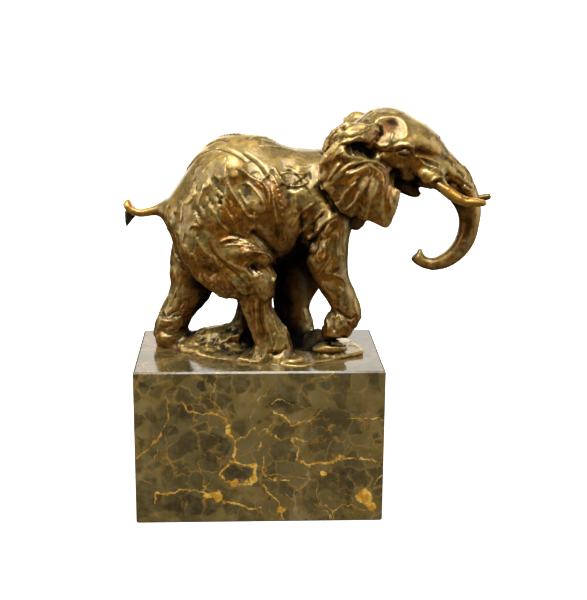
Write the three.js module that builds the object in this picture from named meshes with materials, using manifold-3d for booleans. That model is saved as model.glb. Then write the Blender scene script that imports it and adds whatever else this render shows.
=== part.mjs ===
// A bronze elephant striding over rough ground, cast in one piece and standing on a marble block.
// Units are millimetres, +Z is up, and the origin is the centre of the block's underside. The elephant
// walks towards +X, and its right side faces -Y. Heights of the bronze are measured from the block's top.
import * as THREE from "three";
import { mergeVertices } from "three/addons/utils/BufferGeometryUtils.js";
import Module from "manifold-3d";

const plinth = { length: 170, depth: 106, height: 109, edge: 1.2 };
const headTurn = THREE.MathUtils.degToRad(-10); // the head looks a little to the elephant's right
const neckPivot = 55; // where along the body the head turns
const earThickness = 3.4;
const earBelly = 7; // how far the ear's flap bulges out between its root and its rim
const groundEdge = 3; // height of the rocky ground at its edge
const near = -1; // the elephant's right side
const far = 1; // its left side
const sides = { body: 24, skull: 20, leg: 16, small: 10, finger: 8 }; // facets around each part
const ringsPerStation = 2;
const slope = 0.01; // step along a line that gives its direction

// Each part is a row of named places along its middle line: [x, y, z, half width, half depth].
const torso = {
  rump: [-68, 0, 98.5, 2, 2],
  dock: [-64.5, 0, 98.5, 10, 7.5],
  buttock: [-58, 0, 96, 19, 20],
  haunch: [-50.5, 0, 94.5, 25, 32.5],
  hip: [-40, 0, 98.5, 30, 43.5],
  croup: [-28, 0, 100.5, 32, 50],
  loin: [-12, 0, 101, 33.5, 52.5],
  flank: [4, 0, 104, 33, 47.5],
  ribs: [20, 0, 106, 31, 39],
  withers: [36, 0, 111, 29, 32],
  shoulder: [50, 0, 112, 27, 33],
  chest: [62, -1, 117, 22, 27],
  throat: [70, -2, 124, 14, 17],
};

const tailPlaces = {
  root: [-56, 0, 104, 7, 9],
  dock: [-64, 0, 102, 4.6, 5.6],
  bend: [-75, 0, 99.5, 3.3, 3.6],
  sag: [-82, 0, 98.5, 3.2, 3.3],
  rise: [-88, 0, 100.5, 3.1, 3.1],
  loop: [-91.5, 1, 104.5, 2.8, 2.8],
  over: [-89.5, 4, 106, 2.4, 2.4],
  end: [-88.5, 6, 102, 2.2, 2.2],
};

const tuftPlaces = {
  tie: [-88, 5.5, 103, 2.4, 2.4],
  full: [-89, 6.5, 97.5, 2.6, 4],
  taper: [-90.5, 7, 93, 1.8, 2.6],
  tip: [-92, 7, 88, 0.7, 0.7],
};

const nearHind = {
  hip: [-38, -10, 112, 16, 20],
  haunch: [-32, -17, 97, 15, 27],
  thigh: [-24, -20, 77, 14, 28],
  stifle: [-11, -23, 62, 12.5, 23],
  knee: [-2.5, -24, 51.5, 11, 14.5],
  shin: [-2.5, -24, 40.5, 10, 10.8],
  ankle: [3, -24, 27, 9.5, 10.8],
  instep: [8, -24, 16, 10.5, 12],
  foot: [9.5, -24, 7, 12, 14],
  sole: [10, -24, 2, 12, 14],
};

const farHind = {
  hip: [-28, 10, 96, 14, 24],
  thigh: [-38, 15, 74, 14, 23],
  stifle: [-44.5, 16, 55, 13, 19],
  knee: [-48.5, 16, 41, 12.5, 15.5],
  shin: [-54, 16, 31, 11.5, 12.5],
  ankle: [-58.5, 15, 23, 11.5, 11.8],
  heel: [-62, 14, 14, 12, 11.4],
  foot: [-63, 14, 6, 12.5, 12.2],
  sole: [-62.5, 14, 1, 12, 11.6],
};

const nearFore = {
  shoulder: [45, -13, 124, 14, 20],
  arm: [48, -18, 103, 14.5, 17],
  elbow: [47, -21, 84, 13, 14.5],
  forearm: [47, -22, 69, 12, 14],
  shank: [51, -23, 55, 10.5, 11.5],
  aboveWrist: [57.5, -23, 43, 9.5, 10],
  wrist: [61, -23, 34, 9.5, 9.5],
  belowWrist: [57.5, -23, 25, 9.5, 10],
};

const nearForeFoot = {
  wrist: [59, -23, 33, 8, 8],
  pastern: [55, -23, 23, 9.5, 10.5],
  instep: [52, -23, 13, 9.5, 10],
  foot: [51, -23, 4, 11, 11.5],
  sole: [51, -23, 1, 11, 11.5],
};

const farFore = {
  shoulder: [47, 12, 122, 14, 19],
  arm: [50, 16, 96, 13, 15],
  elbow: [44, 17, 73, 12, 17],
  forearm: [32, 17, 53, 11.5, 17],
  wrist: [25.5, 17, 38, 11, 14.8],
  pastern: [24.2, 17, 25, 10.5, 13],
  foot: [28, 17, 12, 12, 12.6],
  sole: [30, 17, 1, 12.5, 13.4],
};

// The head's own places are [forward of the neck's pivot, sideways, up, half width, half depth].
const skull = {
  nape: [-8, 0, 108, 24, 32],
  crest: [6, 0, 122, 22, 28],
  crown: [19, 0, 137, 23, 27.5],
  dome: [31, 0, 144, 24, 28],
  forehead: [43, 0, 142.3, 22, 25],
  brow: [55.5, 0, 138.3, 18.5, 20.8],
  bridge: [66.8, 0, 131.8, 14.5, 14.8],
  trunkRoot: [77.6, 0, 124.3, 11.5, 12.3],
  upperTrunk: [85.7, 0, 114.6, 9.8, 10.3],
  midTrunk: [90, 0, 104, 8.4, 8.6],
  hang: [90.6, 0, 94, 7.4, 7.3],
  lowTrunk: [88.6, 0, 83.5, 7, 7],
  curl: [83.5, 0, 74.5, 6.4, 6.4],
  underCurl: [76.5, 0, 68.3, 5.6, 5.6],
  lowest: [69, 0, 65, 4.8, 4.6],
  scroll: [62.5, 0, 65.2, 4.3, 4.1],
  nostrils: [57.5, 0, 67.6, 4.3, 4.1],
  lip: [54, 0, 71, 4.6, 4.4],
};

const trunkFinger = {
  root: [58.5, 0, 69, 3.4, 3],
  middle: [57.8, 0, 72, 2.6, 2.2],
  tip: [57.6, 0, 75, 1.6, 1.5],
};

const jaw = {
  hinge: [36, 0, 126, 13, 12],
  middle: [45, 0, 120, 9, 7.5],
  chin: [51, 0, 116.5, 5, 4.5],
  lip: [56, 0, 113.6, 1.6, 1.6],
};

const cheekPlaces = {
  behindEye: [44, 9, 136, 9, 10],
  cheekbone: [56, 11.5, 129, 7.5, 8.5],
  socket: [65, 14, 124.5, 5.6, 6],
  rim: [68.5, 14.6, 122.5, 4.6, 4.8],
};

const tuskPlaces = {
  root: [62, 12, 127.5, 4.2, 4.4],
  socket: [69, 14.5, 122.2, 4.1, 4.2],
  bend: [75, 16, 117.2, 3.7, 3.8],
  sag: [82, 17, 112.6, 3.4, 3.5],
  lowest: [88, 17.2, 110.6, 3.1, 3.1],
  rise: [94.5, 16.8, 110.6, 2.6, 2.6],
  tip: [101.5, 16, 113, 1, 1],
};
const farTusk = { reach: 3, droop: 4 }; // the left tusk ends this much further forward and lower

const lobePlaces = {
  front: [26, 17, 158, 7, 6.4],
  top: [17, 22, 160, 7.5, 7],
  roll: [8, 25, 157.5, 7.5, 7.6],
  back: [0.5, 26, 151, 6, 7],
  end: [-4.5, 26, 143, 4, 5],
};
const farLobeShift = [4, 0, -4, 0, 0]; // the left ear's fold lies further forward and lower

// Where the ear's flap leaves the head, and its outer rim from top to bottom: [forward, sideways, up].
const earRoot = [
  [28, 17, 156], [30, 19, 146], [34, 19, 134], [38, 17, 124],
];
const earRim = [
  [12, 26, 155], [0, 31, 149], [-10, 33, 137], [-9, 33, 121], [1, 35, 109], [14, 37, 102],
  [28, 38, 97], [35.5, 38, 95.5], [40, 36, 104], [43, 31, 115], [42.5, 25, 123],
];

const groundOutline = [
  [-73, 14], [-57, -2], [-41, -16], [-14, -29], [8, -36], [28, -41], [44, -31], [73, -14],
  [72, 6], [58, 26], [34, 38], [0, 36], [-34, 38], [-62, 32],
];

// Lumps of rock: the middle of each, how far it spreads and how high it stands.
const mounds = [
  { at: [9, -24], spread: [17, 13], high: 5 },
  { at: [51, -22], spread: [16, 12], high: 5 },
  { at: [-38, 8], spread: [15, 14], high: 11 },
  { at: [-18, 8], spread: [12, 12], high: 12 },
  { at: [-6, -4], spread: [9, 9], high: 9 },
  { at: [31, 14], spread: [13, 12], high: 8 },
  { at: [43, -3], spread: [13, 11], high: 17 },
];

const spurPlaces = {
  foot: [-12, -5, 1, 9, 9],
  ledge: [-9, -6, 16, 7, 7],
  waist: [-7, -7, 30, 6, 6.5],
  neck: [-5, -8, 46, 6, 7],
  top: [-4, -9, 58, 8, 9],
};

const wasm = await Module();
wasm.setup();

// ---- from surfaces to solids ----

function solidFromGeometry(geometry) {
  geometry.deleteAttribute("normal");
  geometry.deleteAttribute("uv");
  const merged = mergeVertices(geometry);
  return new wasm.Manifold(
    new wasm.Mesh({
      numProp: 3,
      vertProperties: merged.attributes.position.array,
      triVerts: new Uint32Array(merged.index.array),
    }),
  );
}

function solidFrom(points, faces) {
  const geometry = new THREE.BufferGeometry();
  const numbers = points.flatMap((p) => [p.x, p.y, p.z]);
  geometry.setAttribute("position", new THREE.Float32BufferAttribute(numbers, 3));
  geometry.setIndex(faces.flat());
  return solidFromGeometry(geometry);
}

function smoothLine(points, { closed = false, tension = 0.5 } = {}) {
  return new THREE.CatmullRomCurve3(points, closed, "catmullrom", tension);
}

// The faces of a tube of `rings` rings with `sides` points each, closed by a fan on a point at either end.
function tubeFaces(rings, sides) {
  const faces = [];
  for (let i = 0; i < rings - 1; i++)
    for (let j = 0; j < sides; j++) {
      const a = i * sides + j;
      const b = i * sides + ((j + 1) % sides);
      faces.push([a, b, b + sides], [a, b + sides, a + sides]);
    }
  const first = rings * sides;
  const last = first + 1;
  const lastRing = (rings - 1) * sides;
  for (let j = 0; j < sides; j++) {
    const next = (j + 1) % sides;
    faces.push([first, next, j], [last, lastRing + j, lastRing + next]);
  }
  return faces;
}

// A limb: rings square to a smooth line through the named places, or all upright on a part that lies level.
// `low` widens the underside of each ring and narrows its top, as a heavy belly does.
function loft(places, { facets = sides.leg, low = 0, upright = false, place = (p) => p } = {}) {
  const stations = Object.values(places);
  const line = smoothLine(stations.map(([x, y, z]) => new THREE.Vector3(x, y, z)));
  const sizes = smoothLine(stations.map(([, , , width, depth]) => new THREE.Vector3(width, depth, 0)));
  const rings = (stations.length - 1) * ringsPerStation + 1;
  const points = [];
  for (let i = 0; i < rings; i++) {
    const t = i / (rings - 1);
    const centre = line.getPoint(t);
    const along = line.getPoint(Math.min(1, t + slope)).sub(line.getPoint(Math.max(0, t - slope)));
    if (upright) along.set(1, 0, 0);
    along.normalize();
    const across = new THREE.Vector3(0, 1, 0).addScaledVector(along, -along.y).normalize();
    const up = new THREE.Vector3().crossVectors(along, across);
    const size = sizes.getPoint(t);
    for (let j = 0; j < facets; j++) {
      const angle = (2 * Math.PI * j) / facets;
      const width = size.x * Math.cos(angle) * (1 - low * Math.sin(angle));
      const depth = size.y * Math.sin(angle);
      points.push(place(centre.clone().addScaledVector(across, width).addScaledVector(up, depth)));
    }
  }
  points.push(place(line.getPoint(0)), place(line.getPoint(1)));
  return solidFrom(points, tubeFaces(rings, facets));
}

// A curved plate of even thickness: `at(s, t)` is its middle surface and `out` the way its outer face looks.
function plate(at, out, thickness, across, along) {
  const faces = [];
  const points = [];
  const row = along + 1;
  const layer = (across + 1) * row;
  for (const skin of [1, -1])
    for (let i = 0; i <= across; i++)
      for (let j = 0; j <= along; j++)
        points.push(at(i / across, j / along).addScaledVector(out, (skin * thickness) / 2));
  for (let i = 0; i < across; i++)
    for (let j = 0; j < along; j++) {
      const a = i * row + j;
      const b = a + row;
      faces.push([a, b, b + 1], [a, b + 1, a + 1]);
      faces.push([layer + a, layer + b + 1, layer + b], [layer + a, layer + a + 1, layer + b + 1]);
    }
  const edge = [];
  for (let j = 0; j < along; j++) edge.push(j);
  for (let i = 0; i < across; i++) edge.push(i * row + along);
  for (let j = along; j > 0; j--) edge.push(across * row + j);
  for (let i = across; i > 0; i--) edge.push(i * row);
  edge.forEach((a, i) => {
    const b = edge[(i + 1) % edge.length];
    faces.push([a, b, layer + b], [a, layer + b, layer + a]);
  });
  const solid = solidFrom(points, faces);
  return solid.volume() > 0 ? solid : solidFrom(points, faces.map(([a, b, c]) => [a, c, b]));
}

function join(solids) {
  return solids.reduce((whole, solid) => whole.add(solid));
}

// ---- the head, made looking straight ahead from the neck and then turned ----

function turned(p) {
  return p.applyAxisAngle(new THREE.Vector3(0, 0, 1), headTurn).add(new THREE.Vector3(neckPivot, 0, 0));
}

function onHead(places, facets) {
  return loft(places, { facets, place: turned });
}

// The same places on the elephant's left or right side, each moved by `shift`.
function sided(places, side, shift = [0, 0, 0, 0, 0]) {
  const move = ([x, y, z, width, depth]) => [
    x + shift[0],
    side * (y + shift[1]),
    z + shift[2],
    width + shift[3],
    depth + shift[4],
  ];
  return Object.values(places).map(move);
}

// A tusk reaches further and hangs lower by a share that grows from nothing at its root to all at its tip.
function tusk(side, { reach = 0, droop = 0 } = {}) {
  const places = sided(tuskPlaces, side);
  const share = (i) => (i / (places.length - 1)) ** 2;
  const moved = places.map(([x, y, z, width, depth], i) => [
    x + reach * share(i),
    y,
    z - droop * share(i),
    width,
    depth,
  ]);
  return onHead(moved, sides.small);
}

// The ear's flap hangs from its root beside the cheek to a ragged rim, bellying away from the neck.
function earFlap(side) {
  const toVector = ([forward, out, up]) => new THREE.Vector3(forward, side * out, up);
  const root = smoothLine(earRoot.map(toVector));
  const rim = smoothLine(earRim.map(toVector));
  const fullest = 0.85; // the bulge ends a little inside the rim
  const at = (s, t) => {
    const p = root.getPoint(t).lerp(rim.getPoint(t), s);
    p.y += side * earBelly * Math.sin(Math.PI * s * fullest);
    return turned(p);
  };
  const out = new THREE.Vector3(0, 1, 0).applyAxisAngle(new THREE.Vector3(0, 0, 1), headTurn);
  return plate(at, out, earThickness, 5, 18);
}

function head() {
  return join([
    onHead(skull, sides.skull),
    onHead(trunkFinger, sides.finger),
    onHead(jaw, sides.small),
    onHead(sided(cheekPlaces, near), sides.small),
    onHead(sided(cheekPlaces, far), sides.small),
    tusk(near),
    tusk(far, farTusk),
    earFlap(near),
    earFlap(far),
    onHead(sided(lobePlaces, near), sides.small),
    onHead(sided(lobePlaces, far, farLobeShift), sides.small),
  ]);
}

// ---- the ground ----

function groundHeight(x, y) {
  return mounds.reduce(
    (sum, { at, spread, high }) =>
      sum + high * Math.exp(-(((x - at[0]) / spread[0]) ** 2 + ((y - at[1]) / spread[1]) ** 2)),
    groundEdge,
  );
}

// A slab of rough ground: rings of points from its middle out to its outline, raised by the mounds.
function ground() {
  const corners = groundOutline.map(([x, y]) => new THREE.Vector3(x, y, 0));
  const outline = smoothLine(corners, { closed: true, tension: 0.35 });
  const sectors = 36;
  const rings = 6;
  const points = [];
  const faces = [];
  for (let i = 1; i <= rings; i++)
    for (let j = 0; j < sectors; j++) {
      const p = outline.getPoint(j / sectors).multiplyScalar(i / rings);
      points.push(new THREE.Vector3(p.x, p.y, groundHeight(p.x, p.y)));
    }
  for (let j = 0; j < sectors; j++) points.push(outline.getPoint(j / sectors));
  const top = points.length;
  const bottom = top + 1;
  const foot = rings * sectors;
  points.push(new THREE.Vector3(0, 0, groundHeight(0, 0)), new THREE.Vector3(0, 0, 0));
  for (let j = 0; j < sectors; j++) {
    const next = (j + 1) % sectors;
    faces.push([top, j, next], [bottom, foot + next, foot + j]);
    for (let a = 0; a < foot; a += sectors) {
      const b = a + sectors;
      faces.push([a + j, b + j, b + next], [a + j, b + next, a + next]);
    }
  }
  return solidFrom(points, faces);
}

// ---- the marble block, with a small bevel on every edge ----

function marbleBlock() {
  const { length, depth, height, edge } = plinth;
  const face = new THREE.Shape();
  const x = length / 2 - edge;
  const y = depth / 2 - edge;
  face.moveTo(-x, -y);
  face.lineTo(x, -y);
  face.lineTo(x, y);
  face.lineTo(-x, y);
  face.closePath();
  const block = new THREE.ExtrudeGeometry(face, {
    depth: height - 2 * edge,
    bevelEnabled: true,
    bevelThickness: edge,
    bevelSize: edge,
    bevelSegments: 1,
  });
  block.translate(0, 0, edge);
  return block;
}

// ---- the pieces ----

// Everything of the bronze is one casting, cut off level where it stands on the marble.
function bronzeCasting() {
  const whole = join([
    loft(torso, { facets: sides.body, low: 0.12, upright: true }),
    loft(tailPlaces, { facets: sides.small }),
    loft(tuftPlaces, { facets: sides.small }),
    loft(nearHind),
    loft(farHind),
    loft(nearFore),
    loft(nearForeFoot),
    loft(farFore),
    head(),
    ground(),
    loft(spurPlaces, { facets: sides.small }),
  ]);
  const floorSide = 400;
  const floorDepth = 60;
  const floor = new THREE.BoxGeometry(floorSide, floorSide, floorDepth).translate(0, 0, -floorDepth / 2);
  // Where limbs meet, small pockets stay closed inside: the outer skin alone leaves them solid.
  const skins = whole.subtract(solidFromGeometry(floor)).decompose();
  const skin = skins.reduce((largest, one) => (one.volume() > largest.volume() ? one : largest));
  const { vertProperties, triVerts, numProp } = skin.getMesh();
  const geometry = new THREE.BufferGeometry();
  geometry.setAttribute("position", new THREE.BufferAttribute(vertProperties, numProp));
  geometry.setIndex(new THREE.BufferAttribute(triVerts, 1));
  return geometry;
}

const bronze = new THREE.MeshStandardMaterial({ color: 0x7a5a2a, roughness: 0.35, metalness: 1 });
const marble = new THREE.MeshStandardMaterial({ color: 0x4a4024, roughness: 0.15, metalness: 0 });

const sculpture = new THREE.Group();

const block = new THREE.Mesh(marbleBlock(), marble);
block.name = "marble_plinth";
sculpture.add(block);

const elephant = new THREE.Mesh(bronzeCasting(), bronze);
elephant.name = "bronze_elephant";
elephant.position.z = plinth.height;
sculpture.add(elephant);

export default sculpture;
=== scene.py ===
import bpy
import math
import numpy as np
from mathutils import Matrix, Vector


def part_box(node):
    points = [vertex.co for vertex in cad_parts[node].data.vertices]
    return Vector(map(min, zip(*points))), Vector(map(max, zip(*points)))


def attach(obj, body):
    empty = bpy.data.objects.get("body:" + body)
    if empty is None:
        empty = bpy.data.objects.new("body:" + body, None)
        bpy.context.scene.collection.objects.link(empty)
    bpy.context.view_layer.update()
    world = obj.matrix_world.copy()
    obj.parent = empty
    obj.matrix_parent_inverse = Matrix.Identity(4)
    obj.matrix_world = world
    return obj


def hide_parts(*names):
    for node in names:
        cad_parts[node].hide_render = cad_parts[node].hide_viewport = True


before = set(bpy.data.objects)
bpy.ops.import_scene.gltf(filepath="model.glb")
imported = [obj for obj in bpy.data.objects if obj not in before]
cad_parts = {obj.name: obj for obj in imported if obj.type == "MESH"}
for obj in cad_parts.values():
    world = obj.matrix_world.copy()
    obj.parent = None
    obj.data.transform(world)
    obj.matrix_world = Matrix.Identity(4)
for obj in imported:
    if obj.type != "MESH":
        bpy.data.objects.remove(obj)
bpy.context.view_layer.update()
mm = 0.001  # shapes are worked out in millimetres above the block's top, and written in metres
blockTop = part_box("marble_plinth")[1].z / mm
print("frame loaded, block top at", round(blockTop, 1), "mm")


def throughRows(rows, places):
    # a smooth line through the rows: on each stretch, the cubic whose slope at a row is half the step
    # between the rows on either side of it; places run from 0 to 1
    rows = np.asarray(rows, float)
    held = np.vstack([2 * rows[0] - rows[1], rows, 2 * rows[-1] - rows[-2]])
    spot = np.clip(places, 0, 1) * (len(rows) - 1)
    first = np.minimum(spot.astype(int), len(rows) - 2)
    f = (spot - first)[:, None]
    a, b, c, d = held[first], held[first + 1], held[first + 2], held[first + 3]
    return b + 0.5 * f * (c - a + f * (2 * a - 5 * b + 4 * c - d + f * (3 * (b - c) + d - a)))


def tubeFaces(rings, facets):
    # two triangles between each pair of neighbours on neighbouring rings, and a fan on a point at
    # either end
    i, j = np.meshgrid(np.arange(rings - 1), np.arange(facets), indexing="ij")
    a = (i * facets + j).ravel()
    b = (i * facets + (j + 1) % facets).ravel()
    wall = np.vstack([np.c_[a, b, b + facets], np.c_[a, b + facets, a + facets]])
    j = np.arange(facets)
    k = (j + 1) % facets
    first, last, end = rings * facets, rings * facets + 1, (rings - 1) * facets
    front = np.c_[np.full(facets, first), k, j]
    back = np.c_[np.full(facets, last), end + j, end + k]
    return np.vstack([wall, front, back])


def limb(stations, facets=40, rings=60, low=0.0, upright=False):
    # an ellipse carried along the smooth line through the stations (x, y, z, half width, half depth):
    # point = middle + across * width * cos(a) * (1 - low * sin(a)) + up * depth * sin(a)
    t = np.linspace(0, 1, rings)
    rows = throughRows(stations, t)
    middle, width, depth = rows[:, :3], rows[:, 3:4], rows[:, 4:5]
    along = np.gradient(middle, axis=0)
    if upright:
        along = np.tile([1.0, 0, 0], (rings, 1))
    along /= np.linalg.norm(along, axis=1, keepdims=True)
    across = np.array([0, 1.0, 0]) - along * along[:, 1:2]
    across /= np.linalg.norm(across, axis=1, keepdims=True)
    up = np.cross(along, across)
    angle = np.linspace(0, 2 * np.pi, facets, endpoint=False)[None, :, None]
    c, s = np.cos(angle), np.sin(angle)
    sideways = across[:, None] * width[:, None] * c * (1 - low * s)
    ring = middle[:, None] + sideways + up[:, None] * depth[:, None] * s
    points = np.vstack([ring.reshape(-1, 3), middle[:1], middle[-1:]])
    return points, tubeFaces(rings, facets)


def plate(at, thickness, across, along):
    # two skins half the thickness to either side of the surface at(s, t), closed round the edge;
    # the thickness runs along the surface's own normal and thins towards the rim
    s, t = np.meshgrid(np.linspace(0, 1, across), np.linspace(0, 1, along), indexing="ij")
    middle = at(s, t)
    ds = np.gradient(middle, axis=0)
    dt = np.gradient(middle, axis=1)
    out = np.cross(ds, dt)
    out /= np.linalg.norm(out, axis=2, keepdims=True) + 1e-9
    half = 0.5 * thickness(s)[..., None]
    points = np.vstack([(middle + out * half).reshape(-1, 3), (middle - out * half).reshape(-1, 3)])
    i, j = np.meshgrid(np.arange(across - 1), np.arange(along - 1), indexing="ij")
    a = (i * along + j).ravel()
    b = a + along
    n = across * along
    faces = [np.c_[a, b, b + 1], np.c_[a, b + 1, a + 1], n + np.c_[a, b + 1, b], n + np.c_[a, a + 1, b + 1]]
    ring = np.concatenate([
        np.arange(along), np.arange(1, across) * along + along - 1,
        (across - 1) * along + np.arange(along - 2, -1, -1), np.arange(across - 2, 0, -1) * along])
    nxt = np.roll(ring, -1)
    faces += [np.c_[ring, nxt, nxt + n], np.c_[ring, nxt + n, ring + n]]
    return points, np.vstack(faces)


def outward(shell):
    # a shell whose signed volume is negative is inside out, and its triangles are turned round
    points, faces = shell
    a, b, c = points[faces[:, 0]], points[faces[:, 1]], points[faces[:, 2]]
    volume = np.einsum("ij,ij->i", a, np.cross(b, c)).sum()
    return (points, faces if volume > 0 else faces[:, ::-1])


def together(shells):
    # all shells as one list of points and one list of triangles
    points, faces, count = [], [], 0
    for p, f in map(outward, shells):
        points.append(p)
        faces.append(f + count)
        count += len(p)
    return np.vstack(points), np.vstack(faces)


def meshFrom(name, points, faces):
    # points in mm and faces as rows of corner numbers, written as a mesh in metres
    mesh = bpy.data.meshes.new(name)
    mesh.vertices.add(len(points))
    mesh.vertices.foreach_set("co", (points * mm).astype(np.float32).ravel())
    mesh.loops.add(faces.size)
    mesh.loops.foreach_set("vertex_index", faces.astype(np.int32).ravel())
    mesh.polygons.add(len(faces))
    mesh.polygons.foreach_set("loop_start", np.arange(0, faces.size, faces.shape[1], dtype=np.int32))
    mesh.update(calc_edges=True)
    return mesh


def pressed(points, faces, grain):
    # the shells melted into one skin, made of squares of about the given grain
    lump = bpy.data.objects.new("lump", meshFrom("lump", points, faces))
    bpy.context.scene.collection.objects.link(lump)
    melt = lump.modifiers.new("melt", "REMESH")
    melt.mode = "VOXEL"
    melt.voxel_size = grain * mm
    depsgraph = bpy.context.evaluated_depsgraph_get()
    skin = bpy.data.meshes.new_from_object(lump.evaluated_get(depsgraph))
    bpy.data.objects.remove(lump)
    return skin


def readSkin(mesh):
    # points in millimetres, the four corners of each square, and the edges, as arrays
    points = np.empty(len(mesh.vertices) * 3, np.float32)
    mesh.vertices.foreach_get("co", points)
    corners = np.empty(len(mesh.loops), np.int32)
    mesh.loops.foreach_get("vertex_index", corners)
    edges = np.empty(len(mesh.edges) * 2, np.int32)
    mesh.edges.foreach_get("vertices", edges)
    return points.reshape(-1, 3).astype(float) / mm, corners.reshape(-1, 4), edges.reshape(-1, 2)


def spread(index, values, count):
    # sums the rows of values that share an index
    return np.stack([np.bincount(index, values[:, k], count) for k in range(values.shape[1])], 1)


def skinNormals(points, quads):
    # at each point, the mean of the crossed diagonals of the squares around it
    a, b, c, d = (points[quads[:, k]] for k in range(4))
    face = np.cross(c - a, d - b)
    total = sum(spread(quads[:, k], face, len(points)) for k in range(4))
    return total / (np.linalg.norm(total, axis=1, keepdims=True) + 1e-12)


def neighbourMean(values, edges):
    # the mean of each point's neighbours along the edges
    count = len(values)
    degree = np.bincount(edges.ravel(), minlength=count)[:, None]
    total = spread(edges[:, 0], values[edges[:, 1]], count) + spread(edges[:, 1], values[edges[:, 0]], count)
    return total / np.maximum(degree, 1)


def fillCreases(points, quads, edges, rounds, everywhere):
    # each round moves a point towards its neighbours' mean, fully where that mean lies outside the skin,
    # and by the share `everywhere` where it lies inside: joints fill up, and edges stay
    for _ in range(rounds):
        normal = skinNormals(points, quads)
        move = neighbourMean(points, edges) - points
        outside = np.einsum("ij,ij->i", move, normal) > 0
        points = points + move * np.where(outside, 0.7, everywhere)[:, None]
    return points


bronzeSettings = {
    "coarseGrain": 2.0,  # mm, while the big masses are joined
    "fineGrain": 0.78,  # mm, of the finished skin
    "trianglesAtMost": 196000,
    "headTurn": math.radians(-10),
    "neckPivot": 55.0,
    "masses": {"rounds": 14, "everywhere": 0.12},  # how the joints are filled before the fine melting
    "skin": {"rounds": 4, "everywhere": 0.2},  # and after it
    "farSideMarks": 0.7,  # the left side's marks, as a share of the right side's
    "skyDirections": 44,
    "skyCell": 1.3,  # mm
    "lowest": -0.3,  # mm, the underside
}

# the middle line of each mass: x, y, z above the block, half width, half depth, in mm
torso = [
    (-68, 0, 98.5, 2, 2), (-64.5, 0, 98.5, 10, 7.5), (-58, 0, 96, 19, 20), (-50.5, 0, 94.5, 25, 32.5),
    (-40, 0, 98.5, 30, 43.5), (-28, 0, 100.5, 32, 50), (-12, 0, 101, 33.5, 52.5), (4, 0, 104, 33, 47.5),
    (20, 0, 106, 31, 39), (36, 0, 111, 29, 32), (50, 0, 113, 27, 31), (62, -1, 120.5, 22, 22.5),
    (70, -2, 126, 14, 14)]
nearHind = [
    (-38, -10, 112, 16, 20), (-32, -17, 97, 15, 27), (-24, -22, 77, 14, 28), (-11, -26, 62, 12.5, 23),
    (-2.5, -26, 51.5, 11, 14.5), (-2.5, -25, 40.5, 10, 10.8), (3, -24, 27, 9.5, 10.8),
    (8, -24, 16, 10.5, 12), (9.5, -24, 7, 12, 14), (10, -24, -3, 12, 14)]
farHind = [
    (-28, 10, 96, 14, 24), (-38, 15, 74, 14, 23), (-44.5, 16, 55, 13, 19), (-48.5, 16, 41, 12.5, 15.5),
    (-54, 16, 31, 11.5, 12.5), (-58.5, 15, 23, 11.5, 11.8), (-62, 14, 14, 12.5, 12),
    (-62.5, 14, 7, 12.5, 12.4), (-61, 14, 2, 10.5, 10), (-60, 14, 0, 8, 8)]
nearFore = [
    (45, -13, 124, 14, 20), (48, -18, 103, 14.5, 17), (47, -21, 84, 13, 14.5), (47, -22, 69, 12, 14),
    (51, -23, 55, 10.5, 11.5), (57.5, -23, 43, 9.5, 10), (61, -23, 34, 9.5, 9.5), (57.5, -23, 25, 9.5, 10)]
nearForeFoot = [
    (60, -23, 34, 8, 8), (56, -23, 27, 9.5, 10), (53.5, -23, 21, 9.5, 10), (52.5, -23, 17, 9.2, 9.4),
    (52.5, -23, 14.6, 8, 8.4)]
farFore = [
    (47, 12, 122, 14, 19), (50, 16, 96, 13, 15), (44, 17, 73, 12, 17), (32, 17, 53, 11.5, 17),
    (25.5, 17, 38, 11, 14.8), (24.2, 17, 25, 10.5, 13), (28, 17, 12, 12, 12.6), (30, 17, -3, 12.5, 13.4)]
farElbow = [(24, 12, 90, 12, 12), (22, 14, 76, 11, 11), (22, 16, 62, 10, 11), (22, 17, 48, 10, 10.5)]
tail = [
    (-56, 0, 104, 7, 9), (-64, 0, 102, 4.6, 5.6), (-75, 0, 99.5, 3.3, 3.6), (-82, 0, 98.5, 3.2, 3.3),
    (-88, 0, 100.5, 3.1, 3.1), (-91.5, 1, 104.5, 2.8, 2.8), (-89.5, 4, 106, 2.4, 2.4),
    (-88.5, 6, 102, 2.2, 2.2)]
tuft = [
    (-88, 5.5, 103, 2.4, 2.4), (-89, 6.5, 97.5, 2.6, 4), (-90.5, 7, 93, 1.8, 2.6), (-92, 7, 88, 0.7, 0.7)]

# on the head: forward of the neck's pivot, sideways, up, half width, half depth
skull = [
    (-8, 0, 108, 24, 32), (6, 0, 122, 22, 28), (19, 0, 134.5, 23, 21.5), (31, 0, 143.5, 24, 28.4),
    (43, 0, 142.3, 22, 25), (55.5, 0, 138.3, 18.5, 20.8), (66.8, 0, 131.8, 14.5, 14.8),
    (77.6, 0, 124.3, 11.5, 12.3), (85.7, 0, 114.6, 9.8, 10.3), (90, 0, 104, 8.4, 8.6),
    (90.6, 0, 94, 7.4, 7.3), (88.6, 0, 83.5, 7, 7), (83.5, 0, 74.5, 6.4, 6.4), (76.5, 0, 68.3, 5.8, 5.8),
    (69, 0, 65, 5.2, 5), (62.5, 0, 65.2, 4.8, 4.6), (57.5, 0, 67.6, 4.9, 4.7), (54, 0, 71, 5.2, 5)]
finger = [(58.5, 0, 69, 3.4, 3), (57.8, 0, 72, 2.6, 2.2), (57.6, 0, 75, 1.6, 1.5)]
jaw = [
    (36, 0, 126, 13, 12), (45, 0, 120, 9, 7), (50, 0, 115.8, 6, 4.6), (54.5, 0, 113.2, 3.6, 3.2),
    (56.6, 0, 115.4, 2, 2.4)]
cheek = [
    (44, 9, 136, 9, 10), (56, 11.5, 129, 7.5, 8.5), (65, 14, 124.5, 5.6, 6), (68.5, 14.6, 122.5, 4.6, 4.8)]
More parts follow.
